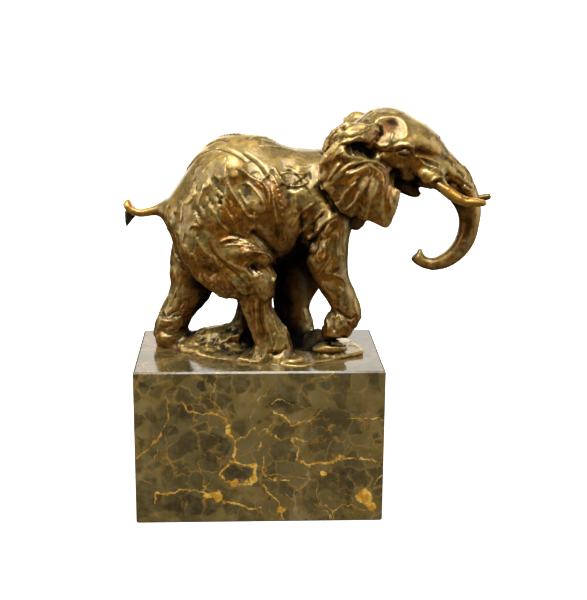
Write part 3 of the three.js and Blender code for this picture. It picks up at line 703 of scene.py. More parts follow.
# on the right of the head: the same with places in the head's own frame
headStrokes = [
    ("ridge", 1.2, 1.04, [(-6, 153), (-2, 159), (2, 161.5), (7, 164), (12, 165)]),
    ("crease", 2.0, 2.38, [(6, 151), (12, 149.6), (18, 148), (24, 146), (29, 143)]),
    ("flap", 1.3, 0.88, [(3, 152), (9, 152.6), (15, 151.5), (21, 150.4), (27, 149.5)]),
    ("ridge", 1.9, 1.23, [(6.2, 129), (14.4, 133.3), (20.1, 136.2), (25, 136.8), (30.1, 133.3),
                          (32.7, 128.2), (33.2, 122)]),
    ("ridge", 1.0, 0.76, [(3.5, 133), (11.7, 137.3), (18.3, 139.6), (24.9, 140.5), (31.6, 137.3),
                          (36.7, 132.3)]),
    ("crease", 1.2, 0.77, [(9, 133.6), (16, 137), (24, 138.6), (31, 135)]),
    ("crease", 1.1, 1.19, [(30, 141), (36, 136), (39.5, 130), (41, 123)]),
    ("ridge", 1.1, 0.95, [(4, 140), (0, 134), (-4, 128)]),
    ("ridge", 1.0, 0.95, [(16, 128), (10, 121), (4, 112)]),
    ("ridge", 0.9, 0.85, [(19, 121), (13, 113), (8, 105)]),
    ("crease", 1.0, 0.77, [(13, 126), (6, 118), (0, 111.5)]),
    ("ridge", 0.8, 0.76, [(19, 112), (19.4, 106), (19.8, 101)]),
    ("ridge", 2.2, 1.1, [(21.6, 161.5), (26.6, 166), (34.9, 168.6), (41.6, 167.6), (46.2, 163.3),
                         (47, 157.4), (44.5, 152)]),
    ("ridge", 0.9, 0.85, [(26, 151.6), (31, 149.8), (36, 150.8)]),
    ("ridge", 0.7, 0.76, [(27.5, 149), (32.5, 147.4), (37, 148)]),
    ("ridge", 0.7, 0.66, [(38.5, 159), (37.5, 154), (40, 150.5)]),
    ("crease", 1.0, 0.85, [(30, 145.6), (35, 145), (40, 144.6)]),
    ("ridge", 0.7, 0.9, [(13, 151), (14.5, 147), (15, 142)]),
    ("ridge", 0.6, 0.8, [(20, 149), (21.5, 146), (22, 142)]),
    ("ridge", 1.1, 1.33, [(39.5, 148), (44, 150), (48.5, 149.6), (53, 147.6)]),
    ("crease", 0.6, 0.94, [(40, 144.6), (43.5, 146.4), (47, 147), (51, 145.2)]),
    ("ridge", 0.5, 0.57, [(42, 143.6), (44, 145), (47, 145.8), (49.6, 144.6)]),
    ("ridge", 0.6, 0.66, [(41.6, 142.2), (44.6, 140.9), (48, 141), (50.6, 142.8)]),
    ("crease", 0.5, 0.68, [(42.6, 143), (44.8, 142), (48, 142.1), (50, 143.4)]),
    ("crease", 2.4, 1.1, [(52, 146.6), (57, 145.4), (63, 144), (69, 142.8), (75, 141)]),
    ("ridge", 0.9, 0.85, [(53, 143), (59, 141), (65, 139.5), (71, 137)]),
    ("ridge", 0.7, 0.76, [(55, 139), (61, 137), (67, 134.8), (72, 132)]),
    ("crease", 0.7, 0.68, [(57, 140.2), (64, 137.6), (70, 134.6)]),
    ("crease", 0.7, 0.68, [(62, 134.6), (67, 132.4), (72, 129.6)]),
    ("ridge", 1.0, 1.14, [(60, 124.4), (63.5, 125.6), (66.5, 127.6), (70.7, 128.4), (74, 127.4)]),
    ("crease", 1.0, 1.36, [(66, 125.6), (70.7, 126.4), (76, 124.8), (81, 121.6), (86.5, 117.9),
                           (91, 115.2)]),
    ("crease", 0.8, 0.94, [(74, 130), (79, 127), (83.5, 123.6), (88, 121)]),
    ("crease", 0.8, 0.94, [(80, 127.5), (85, 124.6), (90, 121.6), (94, 120)]),
    ("ridge", 0.7, 0.76, [(76, 128), (82, 124.6), (87, 120.4)]),
    ("crease", 0.8, 0.77, [(73, 142), (77.3, 138.5), (79.8, 135.5)]),
    ("crease", 0.7, 0.68, [(81, 133), (84.6, 129.8), (88, 126.6)]),
    ("ridge", 0.7, 0.66, [(86.5, 122), (90, 118.5)])]
headLumps = [
    (23, 124, 9, 8, 2.6), (8, 144.5, 4, 4.4, 2.4), (36.5, 163, 6.5, 6, -2.4), (29, 157, 4, 3.6, -1.6),
    (46.6, 144.1, 2.6, 2.2, 1.7), (-8.5, 132, 1.8, 2.6, -1.2), (5.5, 160.6, 2.2, 1.5, -1.6),
    (0.3, 158, 1.2, 1.2, -1.2), (65, 130, 8, 5, 3.2), (53.5, 124.5, 3.4, 6, -4.2), (43, 134.5, 3, 2.6, 1.2),
    (50, 151, 8, 6, 3.2), (52, 161, 6, 6, 0.8), (60, 152, 7, 6, 1.0), (15, 146.5, 7, 3.2, -3.6),
    (25, 144, 5, 3.4, -3.4), (40.5, 128, 3, 6, -1.4), (37, 140, 5, 4, -1.2), (50, 131, 3, 4, -1.4),
    (57, 143.5, 7, 2.4, -0.8)]


def worked(points, quads):
    # the marks in the order that they are made: broad, small, the listed ones on the right, repeated more
    # weakly on the left, then the thin welts and cuts and the clay's own unevenness
    head = headFrame(points)
    trunkDown = easeBetween(76, 84, head[:, 0]) * easeBetween(118, 108, head[:, 2])
    trunkDown = np.maximum(trunkDown, easeBetween(48, 52, head[:, 0]) * easeBetween(92, 84, head[:, 2]))
    onTusk = np.zeros(len(points))
    for line in (nearTusk, farTusk):
        rows = throughRows(line, np.linspace(0, 1, 30))
        for a, b, z, half, _ in rows[6:]:
            apart = np.sqrt((head[:, 0] - a) ** 2 + (head[:, 1] - b) ** 2 + (head[:, 2] - z) ** 2)
            onTusk = np.maximum(onTusk, easeBetween(half * 1.5, half * 1.25, apart))
    rough = workedShare(points) * (1 - 0.8 * trunkDown) * (1 - onTusk)
    chances = rough + 1e-4
    for kind, seed in (("broad", 11), ("small", 12)):
        normals = skinNormals(points, quads)
        knifeMarks(points, normals, clayMarks[kind], chances, seed)
    sides = ((np.array([0.0, -1, 0]), 1.0), (np.array([0.0, 1, 0]), bronzeSettings["farSideMarks"]))
    for look, strength in sides:
        pairs = ((bodyStrokes, bodyLumps, points), (headStrokes, headLumps, headFrame(points)))
        for strokes, lumps, places in pairs:
            flat = np.stack([places[:, 0], places[:, 2], places @ look], 1)
            for lump in lumps:
                normals = skinNormals(points, quads)
                pressLump(points, normals, flat, look, (*lump[:4], lump[4] * strength))
            normals = skinNormals(points, quads)
            for kind, width, height, spots in strokes:
                drawStroke(points, normals, flat, look, (kind, width, height * strength, spots))
    fromAbove = points.copy()
    normals = skinNormals(points, quads)
    for kind, width, height, spots in groundStrokes:
        drawStroke(points, normals, fromAbove, np.array([0.0, 0, 1]), (kind, width, height, spots))
    for kind, seed in (("welts", 13), ("cuts", 14)):
        normals = skinNormals(points, quads)
        knifeMarks(points, normals, clayMarks[kind], chances, seed)
    normals = skinNormals(points, quads)
    grain = 0.18 * lattice(points, 6.0, 21) + 0.10 * lattice(points, 2.4, 22)
    x, z = points[:, 0], points[:, 2]
    rocky = easeBetween(19, 12, z) * easeBetween(2, -8, x) * easeBetween(-52, -46, x) * easeBetween(1.5, 4, z)
    broken = 1.4 * (0.3 - np.abs(lattice(points, 8.0, 23))) + 0.6 * (0.25 - np.abs(lattice(points, 3.6, 24)))
    points += normals * (rocky * broken)[:, None]
    points += normals * (grain * (0.12 + rough))[:, None]
    return points


def outermost(points, quads, edges):
    # each point takes the lowest number met among its neighbours until none changes; only the group with
    # the most points is kept, so that no bubble stays shut in the bronze
    group = np.arange(len(points))
    while True:
        lower = group.copy()
        np.minimum.at(lower, edges[:, 0], group[edges[:, 1]])
        np.minimum.at(lower, edges[:, 1], group[edges[:, 0]])
        lower = lower[lower]
        if (lower == group).all():
            break
        group = lower
    kept = group == np.bincount(group).argmax()
    place = np.cumsum(kept) - 1
    return points[kept], place[quads[kept[quads[:, 0]]]], place[edges[kept[edges[:, 0]]]]


skin = modelled()
points, quads, edges = outermost(*readSkin(skin))
print("bronze skin", len(points), "points", len(quads), "squares")
points = fillCreases(points, quads, edges, **bronzeSettings["skin"])
points = worked(points, quads)
print("bronze worked")


def thinned(points, quads, most):
    # the skin as triangles, taken down to at most the given number, where it is flattest
    triangles = np.vstack([quads[:, [0, 1, 2]], quads[:, [0, 2, 3]]])
    lump = bpy.data.objects.new("lump", meshFrom("lump", points, triangles))
    bpy.context.scene.collection.objects.link(lump)
    if len(triangles) > most:
        thin = lump.modifiers.new("thin", "DECIMATE")
        thin.ratio = most / len(triangles)
    depsgraph = bpy.context.evaluated_depsgraph_get()
    mesh = bpy.data.meshes.new_from_object(lump.evaluated_get(depsgraph))
    bpy.data.objects.remove(lump)
    return mesh


def readTriangles(mesh):
    # points in millimetres, the three corners of each triangle, and the edges, as arrays
    points = np.empty(len(mesh.vertices) * 3, np.float32)
    mesh.vertices.foreach_get("co", points)
    corners = np.empty(len(mesh.loops), np.int32)
    mesh.loops.foreach_get("vertex_index", corners)
    edges = np.empty(len(mesh.edges) * 2, np.int32)
    mesh.edges.foreach_get("vertices", edges)
    return points.reshape(-1, 3).astype(float) / mm, corners.reshape(-1, 3), edges.reshape(-1, 2)


def triangleNormals(points, triangles):
    # at each point, the mean of the crossed sides of the triangles around it
    a, b, c = (points[triangles[:, k]] for k in range(3))
    face = np.cross(b - a, c - a)
    total = sum(spread(triangles[:, k], face, len(points)) for k in range(3))
    return total / (np.linalg.norm(total, axis=1, keepdims=True) + 1e-12)


def openSky(points, normals, directions, cell):
    # for each of many directions, evenly spread over the sphere, the furthest point along it is kept in
    # every square of a grid across it; a point counts as open there if it is about as far as that, and
    # its share is the sum of (normal . direction) over the open directions above the ground, out of all
    k = np.arange(directions) + 0.5
    up = 1 - 2 * k / directions
    turn = math.pi * (1 + 5 ** 0.5) * k
    level = np.sqrt(1 - up * up)
    openShare, wholeShare = np.zeros(len(points)), np.zeros(len(points))
    for toward in np.stack([level * np.cos(turn), level * np.sin(turn), up], 1):
        facing = np.maximum(normals @ toward, 0)
        wholeShare += facing
        if toward[2] < -0.35:
            continue
        right = np.cross(toward, (0.3, 0.2, 0.93))
        right /= np.linalg.norm(right)
        a = np.floor(points @ right / cell).astype(int)
        b = np.floor(points @ np.cross(right, toward) / cell).astype(int)
        a -= a.min() - 1
        b -= b.min() - 1
        depth = points @ toward
        grid = np.full((a.max() + 2, b.max() + 2), -1e9)
        np.maximum.at(grid, (a, b), depth)
        grid = np.maximum(grid, np.maximum(np.roll(grid, 1, 0), np.roll(grid, -1, 0)))
        openShare += facing * (depth > grid[a, b] - 1.2 - 2.2 * cell * (1 - facing))
    return openShare / np.maximum(wholeShare, 1e-6)


def nearLine(places, stations, first, wide):
    # 1 within `wide` half widths of the stations' middle line, falling to 0 a little further out
    inside = np.zeros(len(places))
    for row in throughRows(stations, np.linspace(first, 1, 40)):
        apart = np.linalg.norm(places - row[:3], axis=1) / row[3]
        inside = np.maximum(inside, easeBetween(wide * 1.2, wide, apart))
    return inside


# painted shade: spots of near black on the legs' inner sides, where they stand in shadow: x, z, half lengths
# along x and z, strength
paintedShadeSpots = [(-12, 38, 8, 14, 1), (14, 58, 8, 26, 0.8), (-14, 20, 8, 8, 0.6), (-41, 49, 9, 8, 1)]
# some stains are the patina's own; others are painted highlights where the skin faces the lamps, such as the
# back and the far foreleg's lit strip, and painted shade under the thigh and in hollows
bodyStainsAndPaintedLight = [  # x, z, half lengths along x and z, strength: brown above zero, tan below
    (0, 110, 10, 12, 1), (11.5, 116, 6, 15, 1), (-18, 110, 8, 10, 0.8), (5, 98, 12, 8, 0.6),
    (-14, 98, 10, 5, 0.7), (-14, 82, 14, 5, 0.6), (-4, 70, 12, 7, 0.9), (-28, 68, 10, 6, 1),
    (44, 70, 6, 9, 1), (48, 54, 5, 9, 0.9), (52, 93, 4, 6, 0.6), (-4, 40, 5, 10, 0.5), (8, 34, 5, 10, 0.6),
    (-8, 22, 6, 6, 0.8), (-46, 66, 9, 8, -0.5), (-60, 98, 14, 16, -0.4), (-30, 142, 30, 12, -0.8),
    (10, 146, 26, 10, -0.5), (26, 132, 10, 8, -0.6), (58, 84, 7, 24, -0.8), (60, 50, 5, 12, -0.6),
    (-59, 40, 6, 18, -0.6), (-46, 32, 5, 14, 0.8), (34, 116, 8, 10, -0.3), (33, 38, 4, 20, -1.2),
    (20, -2, 60, 10, -0.5), (-20, 18, 12, 8, -0.3), (50, 9, 14, 4, 0.9), (-10, 12, 8, 5, 0.8),
    (-35, 65, 10, 6, 0.8), (-24, 90, 12, 6, 0.5), (40, 40, 8, 6, 0.4)]
# as on the body: partly the patina's own stains, partly painted highlights on the forehead and cheek and
# painted shade under the ear's front
headStainsAndPaintedLight = [
    (22, 126, 10, 8, 1.8), (8, 128, 5, 9, 0.5), (28.5, 157, 5, 4, 1.8), (36.5, 162.5, 8, 7, 1.6),
    (37, 114, 6, 12, 1.5), (40.5, 117, 5, 6, 0.9), (60, 144, 12, 3, 1), (33, 143, 5, 4, 0.9),
    (58, 130, 5, 7, 0.8), (44, 132, 8, 8, 0.5), (90.5, 92, 4.5, 18, 1.8), (84, 76, 5, 8, 1.6),
    (72, 67.5, 9, 3, 1.4), (42, 135, 9, 7, 0.9), (22, 124, 9, 7, 1.0), (46.5, 143.6, 5, 3.4, 1.7),
    (36, 161, 7, 5, 0.9), (58, 143.5, 14, 3, 0.8), (40, 152, 6, 7, -0.6), (50, 158, 9, 11, -1.4),
    (68, 135, 8, 5, -1.4), (6, 158, 10, 6, -0.6), (30, 106, 9, 10, -0.5), (66, 150, 10, 6, -0.6),
    (86, 122, 6, 8, -0.6), (34, 168, 12, 4, -0.6)]


def stainAndPaintedLightShare(places, stainsAndPaintedLight):
    # the sum of the bells of the listed stains, painted highlights and painted shade, each over the skin's
    # forward and upward places
    total = np.zeros(len(places))
    for forward, up, halfForward, halfUp, strength in stainsAndPaintedLight:
        u, v = (places[:, 0] - forward) / halfForward, (places[:, 2] - up) / halfUp
        total += strength * np.exp(-(u * u + v * v) ** 1.2)
    return total


def keepOnSkin(mesh, name, values):
    # one number at each point, which the patina and its painted light and shade read
    layer = mesh.attributes.new(name, "FLOAT", "POINT")
    layer.data.foreach_set("value", values.astype(np.float32))


mesh = thinned(points, quads, bronzeSettings["trianglesAtMost"])
points, triangles, edges = readTriangles(mesh)
points[:, 2] = np.maximum(points[:, 2], bronzeSettings["lowest"])
normals = triangleNormals(points, triangles)
sky = openSky(points, normals, bronzeSettings["skyDirections"], bronzeSettings["skyCell"])
for _ in range(3):
    sky = 0.5 * sky + 0.5 * neighbourMean(sky[:, None], edges)[:, 0]
smooth = points
bend = []
for rounds in (2, 10):
    for _ in range(rounds):
        smooth = 0.4 * smooth + 0.6 * neighbourMean(smooth, edges)
    bend.append(np.einsum("ij,ij->i", smooth - points, normals))
bend[1] = bend[1] - bend[0]
head = headFrame(points)
# stains with painted highlights and painted shade among them, and the near black painted shade between the
# legs
stainsAndPaintedLight = stainAndPaintedLightShare(points, bodyStainsAndPaintedLight) + stainAndPaintedLightShare(head, headStainsAndPaintedLight)
# the painted shade spots reach only the inner parts, between the legs
inward = easeBetween(-22, -14, points[:, 1]) * easeBetween(22, 14, points[:, 1])
paintedShade = stainAndPaintedLightShare(points, paintedShadeSpots) * inward
polished = np.maximum(nearLine(head, nearTusk, 0.3, 1.25), 0.2 * nearLine(head, farTusk, 0.3, 1.25))
tailShare = nearLine(points, tail, 0.35, 1.5)
tuftShare = nearLine(points, tuft, 0.1, 1.6)
rise = normals[:, 2:3]
for _ in range(4):
    rise = 0.4 * rise + 0.6 * neighbourMean(rise, edges)
# the open sky and the upward facing feed the painted top light and the painted shade of the patina
keepOnSkin(mesh, "skyShare", sky)
keepOnSkin(mesh, "riseShare", rise[:, 0])
keepOnSkin(mesh, "stainAndPaintedLightShare", np.clip(stainsAndPaintedLight, -1, 2))
keepOnSkin(mesh, "edgeShare", np.clip(-bend[0] / 0.16 - bend[1] / 0.5, 0, 1))
keepOnSkin(mesh, "creaseShare", np.clip(bend[0] / 0.2 + bend[1] / 0.5, 0, 1))
keepOnSkin(mesh, "polished", np.clip(polished + 0.8 * tailShare * (1 - tuftShare), 0, 1))
keepOnSkin(mesh, "darkTuftAndFarTusk", np.maximum(tuftShare, 0.6 * nearLine(head, farTusk, 0.5, 1.4)))
keepOnSkin(mesh, "paintedShadeSpotShare", np.clip(paintedShade, 0, 1))
points[:, 2] += blockTop
mesh.vertices.foreach_set("co", (points * mm).astype(np.float32).ravel())
mesh.update()
elephant = bpy.data.objects.new("elephant_casting", mesh)
bpy.context.scene.collection.objects.link(elephant)
mesh.shade_smooth()
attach(elephant, "root")
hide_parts("bronze_elephant")
print("bronze skin thinned to", len(mesh.polygons), "triangles")


class Bench:
    # a short way to set out a material's nodes and join them
    def __init__(self, name):
        self.finish = bpy.data.materials.new(name)
        self.finish.use_nodes = True
        self.tree = self.finish.node_tree
        self.shader = self.tree.nodes["Principled BSDF"]

    def put(self, kind, settings=None, **sockets):
        # a node with its settings; _0, _1 and so on are its sockets in order
        node = self.tree.nodes.new("ShaderNode" + kind)
        for name, value in (settings or {}).items():
            setattr(node, name, value)
        for name, value in sockets.items():
            self.join(value, node.inputs[int(name[1:]) if name[1:].isdigit() else name])
        return node

    def join(self, value, socket):
        # a link from a node's output, or a fixed value
        if hasattr(value, "outputs"):
            value = value.outputs[0]
        if hasattr(value, "is_output"):
            self.tree.links.new(value, socket)
        else:
            socket.default_value = value

    def vector(self, kind, *values):
        # one step of sums with places
        node = self.put("VectorMath", {"operation": kind}, **{f"_{k}": v for k, v in enumerate(values)})
        return node.outputs["Value" if kind in ("DOT_PRODUCT", "DISTANCE", "LENGTH") else "Vector"]

    def turnTaken(self, done, place):
        # a millionth of what is done so far, added to a place, so that the nodes are worked one by one
        return self.vector("MULTIPLY_ADD", done, (1e-6,) * 3, place)

    def cellEdges(self, at, scale):
        # the distance from the border between a cell and the next
        cells = self.put("TexVoronoi", {"feature": "DISTANCE_TO_EDGE"}, Vector=at, Scale=scale)
        return cells.outputs["Distance"]

    def skinShare(self, name):
        # the number that keepOnSkin left at each point
        return self.put("Attribute", {"attribute_name": name}).outputs["Fac"]

    def places(self):
        # the piece's own x, y and z, in metres
        return self.put("TexCoord").outputs["Object"]

    def noise(self, at, scale, detail=3.0, rough=0.55, warp=0.0):
        # a cloudy number from 0 to 1, whose clouds are about 1 / scale metres across
        node = self.put("TexNoise", Vector=at, Scale=scale, Detail=detail, Roughness=rough)
        node.inputs["Distortion"].default_value = warp
        return node.outputs[0]

    def sum(self, kind, a, b, clamp=False):
        # one step of sums with numbers
        return self.put("Math", {"operation": kind, "use_clamp": clamp}, _0=a, _1=b).outputs[0]

    def between(self, value, low, high, first=0.0, last=1.0):
        # a smooth passage from first at low to last at high
        node = self.put("MapRange", {"interpolation_type": "SMOOTHSTEP"}, Value=value)
        for k, number in enumerate((low, high, first, last)):
            node.inputs[k + 1].default_value = number
        return node.outputs[0]

    def blend(self, share, a, b):
        # a and b mixed: a where the share is 0, b where it is 1
        node = self.put("Mix", {"data_type": "RGBA"})
        self.join(share, node.inputs[0])
        self.join(a, node.inputs[6])
        self.join(b, node.inputs[7])
        return node.outputs[2]


# the patina's colours, with a near black that paints shade and a pale tone that is partly painted highlight
patinaAndPaintedLightColours = {
    "paleAndPaintedHighlight": (0.62, 0.51, 0.28, 1),
    "tan": (0.47, 0.355, 0.155, 1), "olive": (0.205, 0.165, 0.068, 1), "brown": (0.40, 0.172, 0.008, 1),
    "darkBrown": (0.085, 0.030, 0.003, 1), "gold": (0.80, 0.58, 0.26, 1), "paintedShade": (0.003, 0.002, 0.001, 1),
    "tuskGold": (0.80, 0.50, 0.12, 1), "tuskBrown": (0.42, 0.18, 0.02, 1), "tuft": (0.06, 0.045, 0.02, 1),
}
patinaSettings = {
    "metallic": 0.78, "metallicPolished": 0.9, "roughness": (0.36, 0.50),
    "lacquerRoughness": 0.24, "lacquerIndex": 1.6, "lacquerTint": (1.0, 0.90, 0.60, 1),
    "streakLean": math.radians(40), "grainStrength": 0.4, "grainHeight": 0.0006,
}


def patinaAndPaintedLight():
    # tan and olive where the skin looks up to the sky and orange brown below and in the hollows, as painted
    # top light and painted shade;
    # near black painted shade where little sky reaches; pale painted highlights among the stains; and rubbed
    # to gold on the edges
    b = Bench("patinaAndPaintedLight")
    c, own = patinaAndPaintedLightColours, patinaSettings
    at = b.places()
    sky, edge, crease = b.skinShare("skyShare"), b.skinShare("edgeShare"), b.skinShare("creaseShare")
    cloud = b.between(b.noise(at, 70, 4, 0.6, 0.5), 0.2, 0.8, 0.3, 0.7)
    mottle = b.noise(at, 230, 5, 0.65)
    speckle = b.noise(at, 1300, 2, 0.5)
    tan = b.blend(b.between(mottle, 0.3, 0.72), c["olive"], c["tan"])
    brown = b.blend(b.between(mottle, 0.25, 0.62), c["darkBrown"], c["brown"])
    # painted top light: skin that faces up and out to the open sky turns tan, and skin facing down or into
    # hollows orange brown; the cloud and the stains add the patina's own unevenness
    paintedTopLightAndTone = b.sum("ADD", b.sum("MULTIPLY", b.skinShare("riseShare"), 0.58), b.sum("MULTIPLY", sky, 0.35))
    paintedTopLightAndTone = b.sum("ADD", paintedTopLightAndTone, cloud)
    stainAndPaintedLight = b.skinShare("stainAndPaintedLightShare")
    paintedTopLightAndTone = b.sum("SUBTRACT", paintedTopLightAndTone, b.sum("MULTIPLY", stainAndPaintedLight, 0.22))
    colour = b.blend(b.between(paintedTopLightAndTone, 0.69, 0.85), brown, tan)
    # pale painted highlights, partly the patina's own pale tone, where the stains run below zero; darker
    # brown, partly painted shade, where they run high
    colour = b.blend(b.between(stainAndPaintedLight, -1.0, -0.4, 0.55, 0.0), colour, c["paleAndPaintedHighlight"])
    colour = b.blend(b.between(stainAndPaintedLight, 0.8, 2.0, 0.0, 0.75), colour, c["darkBrown"])
    colour = b.blend(b.between(speckle, 0.35, 0.7, 0.0, 0.3), colour, c["darkBrown"])
    # painted shade: the colour goes to near black where little open sky reaches the skin, more so in creases
    # and on the painted shade spots between the legs
    depth = b.sum("MULTIPLY", b.between(sky, 0.13, 0.48), b.between(crease, 0.45, 1.0, 1.0, 0.3))
    depth = b.sum("MULTIPLY", depth, b.between(b.skinShare("paintedShadeSpotShare"), 0.0, 1.0, 1.0, 0.05))
    colour = b.blend(depth, c["paintedShade"], colour)
    worn = b.sum("MULTIPLY", b.between(edge, 0.3, 1.0, 0.0, 0.8), b.between(sky, 0.3, 0.75))
    worn = b.sum("MULTIPLY", worn, b.between(mottle, 0.3, 0.6, 0.35, 1.0))
    colour = b.blend(worn, colour, c["gold"])
    tusk = b.blend(b.between(mottle, 0.45, 0.7), c["tuskGold"], c["tuskBrown"])
    tusk = b.blend(b.between(crease, 0.3, 1.0), tusk, c["darkBrown"])
    colour = b.blend(b.skinShare("polished"), colour, tusk)
    # the tail's tuft and the far tusk made darker
    colour = b.blend(b.skinShare("darkTuftAndFarTusk"), colour, c["tuft"])
    b.join(colour, b.shader.inputs["Base Color"])
    metallic = b.between(b.skinShare("polished"), 0.0, 1.0, own["metallic"], own["metallicPolished"])
    b.join(metallic, b.shader.inputs["Metallic"])
    rough = b.between(mottle, 0.3, 0.7, *own["roughness"])
    # where the shade is painted, the skin is also rougher and its lacquer thinner
    rough = b.sum("ADD", rough, b.between(depth, 0.0, 0.8, 0.4, 0.0))
    b.join(rough, b.shader.inputs["Roughness"])
    lacquer = b.sum("MULTIPLY", b.between(depth, 0.2, 0.9, 0.02, 1.0), b.between(stainAndPaintedLight, 0.9, 1.6, 1.0, 0.2))
    b.join(lacquer, b.shader.inputs["Coat Weight"])
    b.shader.inputs["Coat Roughness"].default_value = own["lacquerRoughness"]
    b.shader.inputs["Coat IOR"].default_value = own["lacquerIndex"]
    b.shader.inputs["Coat Tint"].default_value = own["lacquerTint"]
    leaning = b.put("Mapping", Vector=at, Rotation=(0.0, own["streakLean"], 0.0), Scale=(1.0, 1.0, 0.16))
    leaning = leaning.outputs[0]
    streaks = b.noise(leaning, 900, 3, 0.6)
    grain = b.sum("ADD", b.noise(at, 520, 3, 0.6), b.sum("MULTIPLY", b.noise(at, 1900, 2, 0.5), 0.35))
    grain = b.sum("ADD", grain, b.sum("MULTIPLY", streaks, 0.6))
    bump = b.put("Bump", Height=grain, Strength=own["grainStrength"], Distance=own["grainHeight"])
    b.join(bump.outputs[0], b.shader.inputs["Normal"])
    return b.finish


marbleSettings = {
    "front": -53.0,  # mm, the face that the patches and pebbles lie on
    "pebble": (0.034, 0.026, 0.013, 1), "pebblePale": (0.115, 0.090, 0.036, 1),
    "matrix": (0.165, 0.112, 0.028, 1), "matrixPale": (0.25, 0.19, 0.085, 1),
    "vein": (0.50, 0.235, 0.022, 1), "veinPale": (0.82, 0.53, 0.11, 1), "chalk": (0.34, 0.27, 0.15, 1),
    # the main veins: x and z places of each one's bends, in mm, and its half width
    "veins": [
        ([(-73, 17), (-71, 24), (-62, 22), (-52, 24), (-42, 24), (-29, 20), (-20, 14), (-10, 9),
          (2, 8)], 0.35),
        ([(-52, 87), (-40, 79), (-26, 78), (-22, 74), (-23, 66), (-19, 60), (-19, 44), (-28, 37), (-24, 31),
          (-14, 30)], 0.25),
        ([(-14, 30), (-6, 30), (-3, 42), (-20, 44)], 0.35),
        ([(-19, 60), (-12, 63), (-4, 68), (2, 62)], 0.05),
        ([(6, 84), (12, 78), (19, 73), (34, 76), (44, 82)], 0.05),
        ([(2, 48), (3, 40), (10, 34), (20, 32)], 0.1),
        ([(22, 62), (27, 54), (26, 46), (34, 40), (44, 44), (55, 47), (72, 46), (84, 44)], 0.15),
        ([(32, 58), (24, 63), (14, 60), (8, 66), (2, 62), (-2, 52)], 0.05),
        ([(60, 73), (70, 75), (84, 74)], 0.15),
        ([(-84, 48), (-74, 56), (-66, 66), (-60, 76), (-63, 88)], 0.05),
        ([(77, 28), (80, 32), (84, 34)], 0.2),
        ([(4, 30), (8, 22), (14, 14), (17, 4)], 0.1),
        ([(24, 84), (14, 90), (8, 86)], 0.05)],
    "chalkVeins": [
        ([(34, 38), (32, 28), (24, 21), (26, 8)], 0.2),
        ([(42, 42), (46, 52), (52, 62)], -0.15),
        ([(20, 20), (28, 8), (32, 0)], 0.1),
        ([(74, 0), (84, 9)], 0.1)],
    # gold patches: x, z and half size
    "patches": [
        (-29, 19.5, 5.0), (-36, 21, 2.6), (73, 18, 5.6), (77, 12, 3.4), (43, 36, 3.0), (-6, 31, 3.4),
        (-16, 30, 2.8), (14, 9, 3.2), (-4, 41, 2.4), (12, 32, 1.8)],
    # dark pebbles: x, z, half length, half height
    "pebbles": [
        (-15, 37, 9, 5), (-47, 81, 12, 6), (-39, 98, 4, 6), (-30, 103, 3, 4), (-77, 99, 7, 3),
        (-30, 54, 9, 13), (16, 85, 13, 3), (60, 36, 7, 3), (-62, 68, 6, 5), (-48, 12, 22, 7),
        (22, 47, 5, 4), (62, 22, 4, 8)],
}


def nearestLine(b, flat, lines):
    # the least distance from a place, in the plane of x and z, to any stretch of the lines, less the
    # line's half width: on a stretch from a to c it is |p - a - clamp((p - a).(c - a) / |c - a|^2)(c - a)|
    least = None
    for bends, half in lines:
        for (x0, z0), (x1, z1) in zip(bends, bends[1:]):
            step = np.array([x1 - x0, 0.0, z1 - z0]) * mm
            if least is not None:
                flat = b.turnTaken(least, flat)
            away = b.vector("SUBTRACT", flat, (x0 * mm, 0.0, z0 * mm))
            share = b.sum("ADD", b.vector("DOT_PRODUCT", away, tuple(step / (step @ step))), 0.0, clamp=True)
            foot = b.put("VectorMath", {"operation": "SCALE"}, _0=tuple(step), Scale=share).outputs[0]
            gap = b.sum("SUBTRACT", b.vector("DISTANCE", away, foot), half * mm)
            least = gap if least is None else b.sum("MINIMUM", least, gap)
    return least


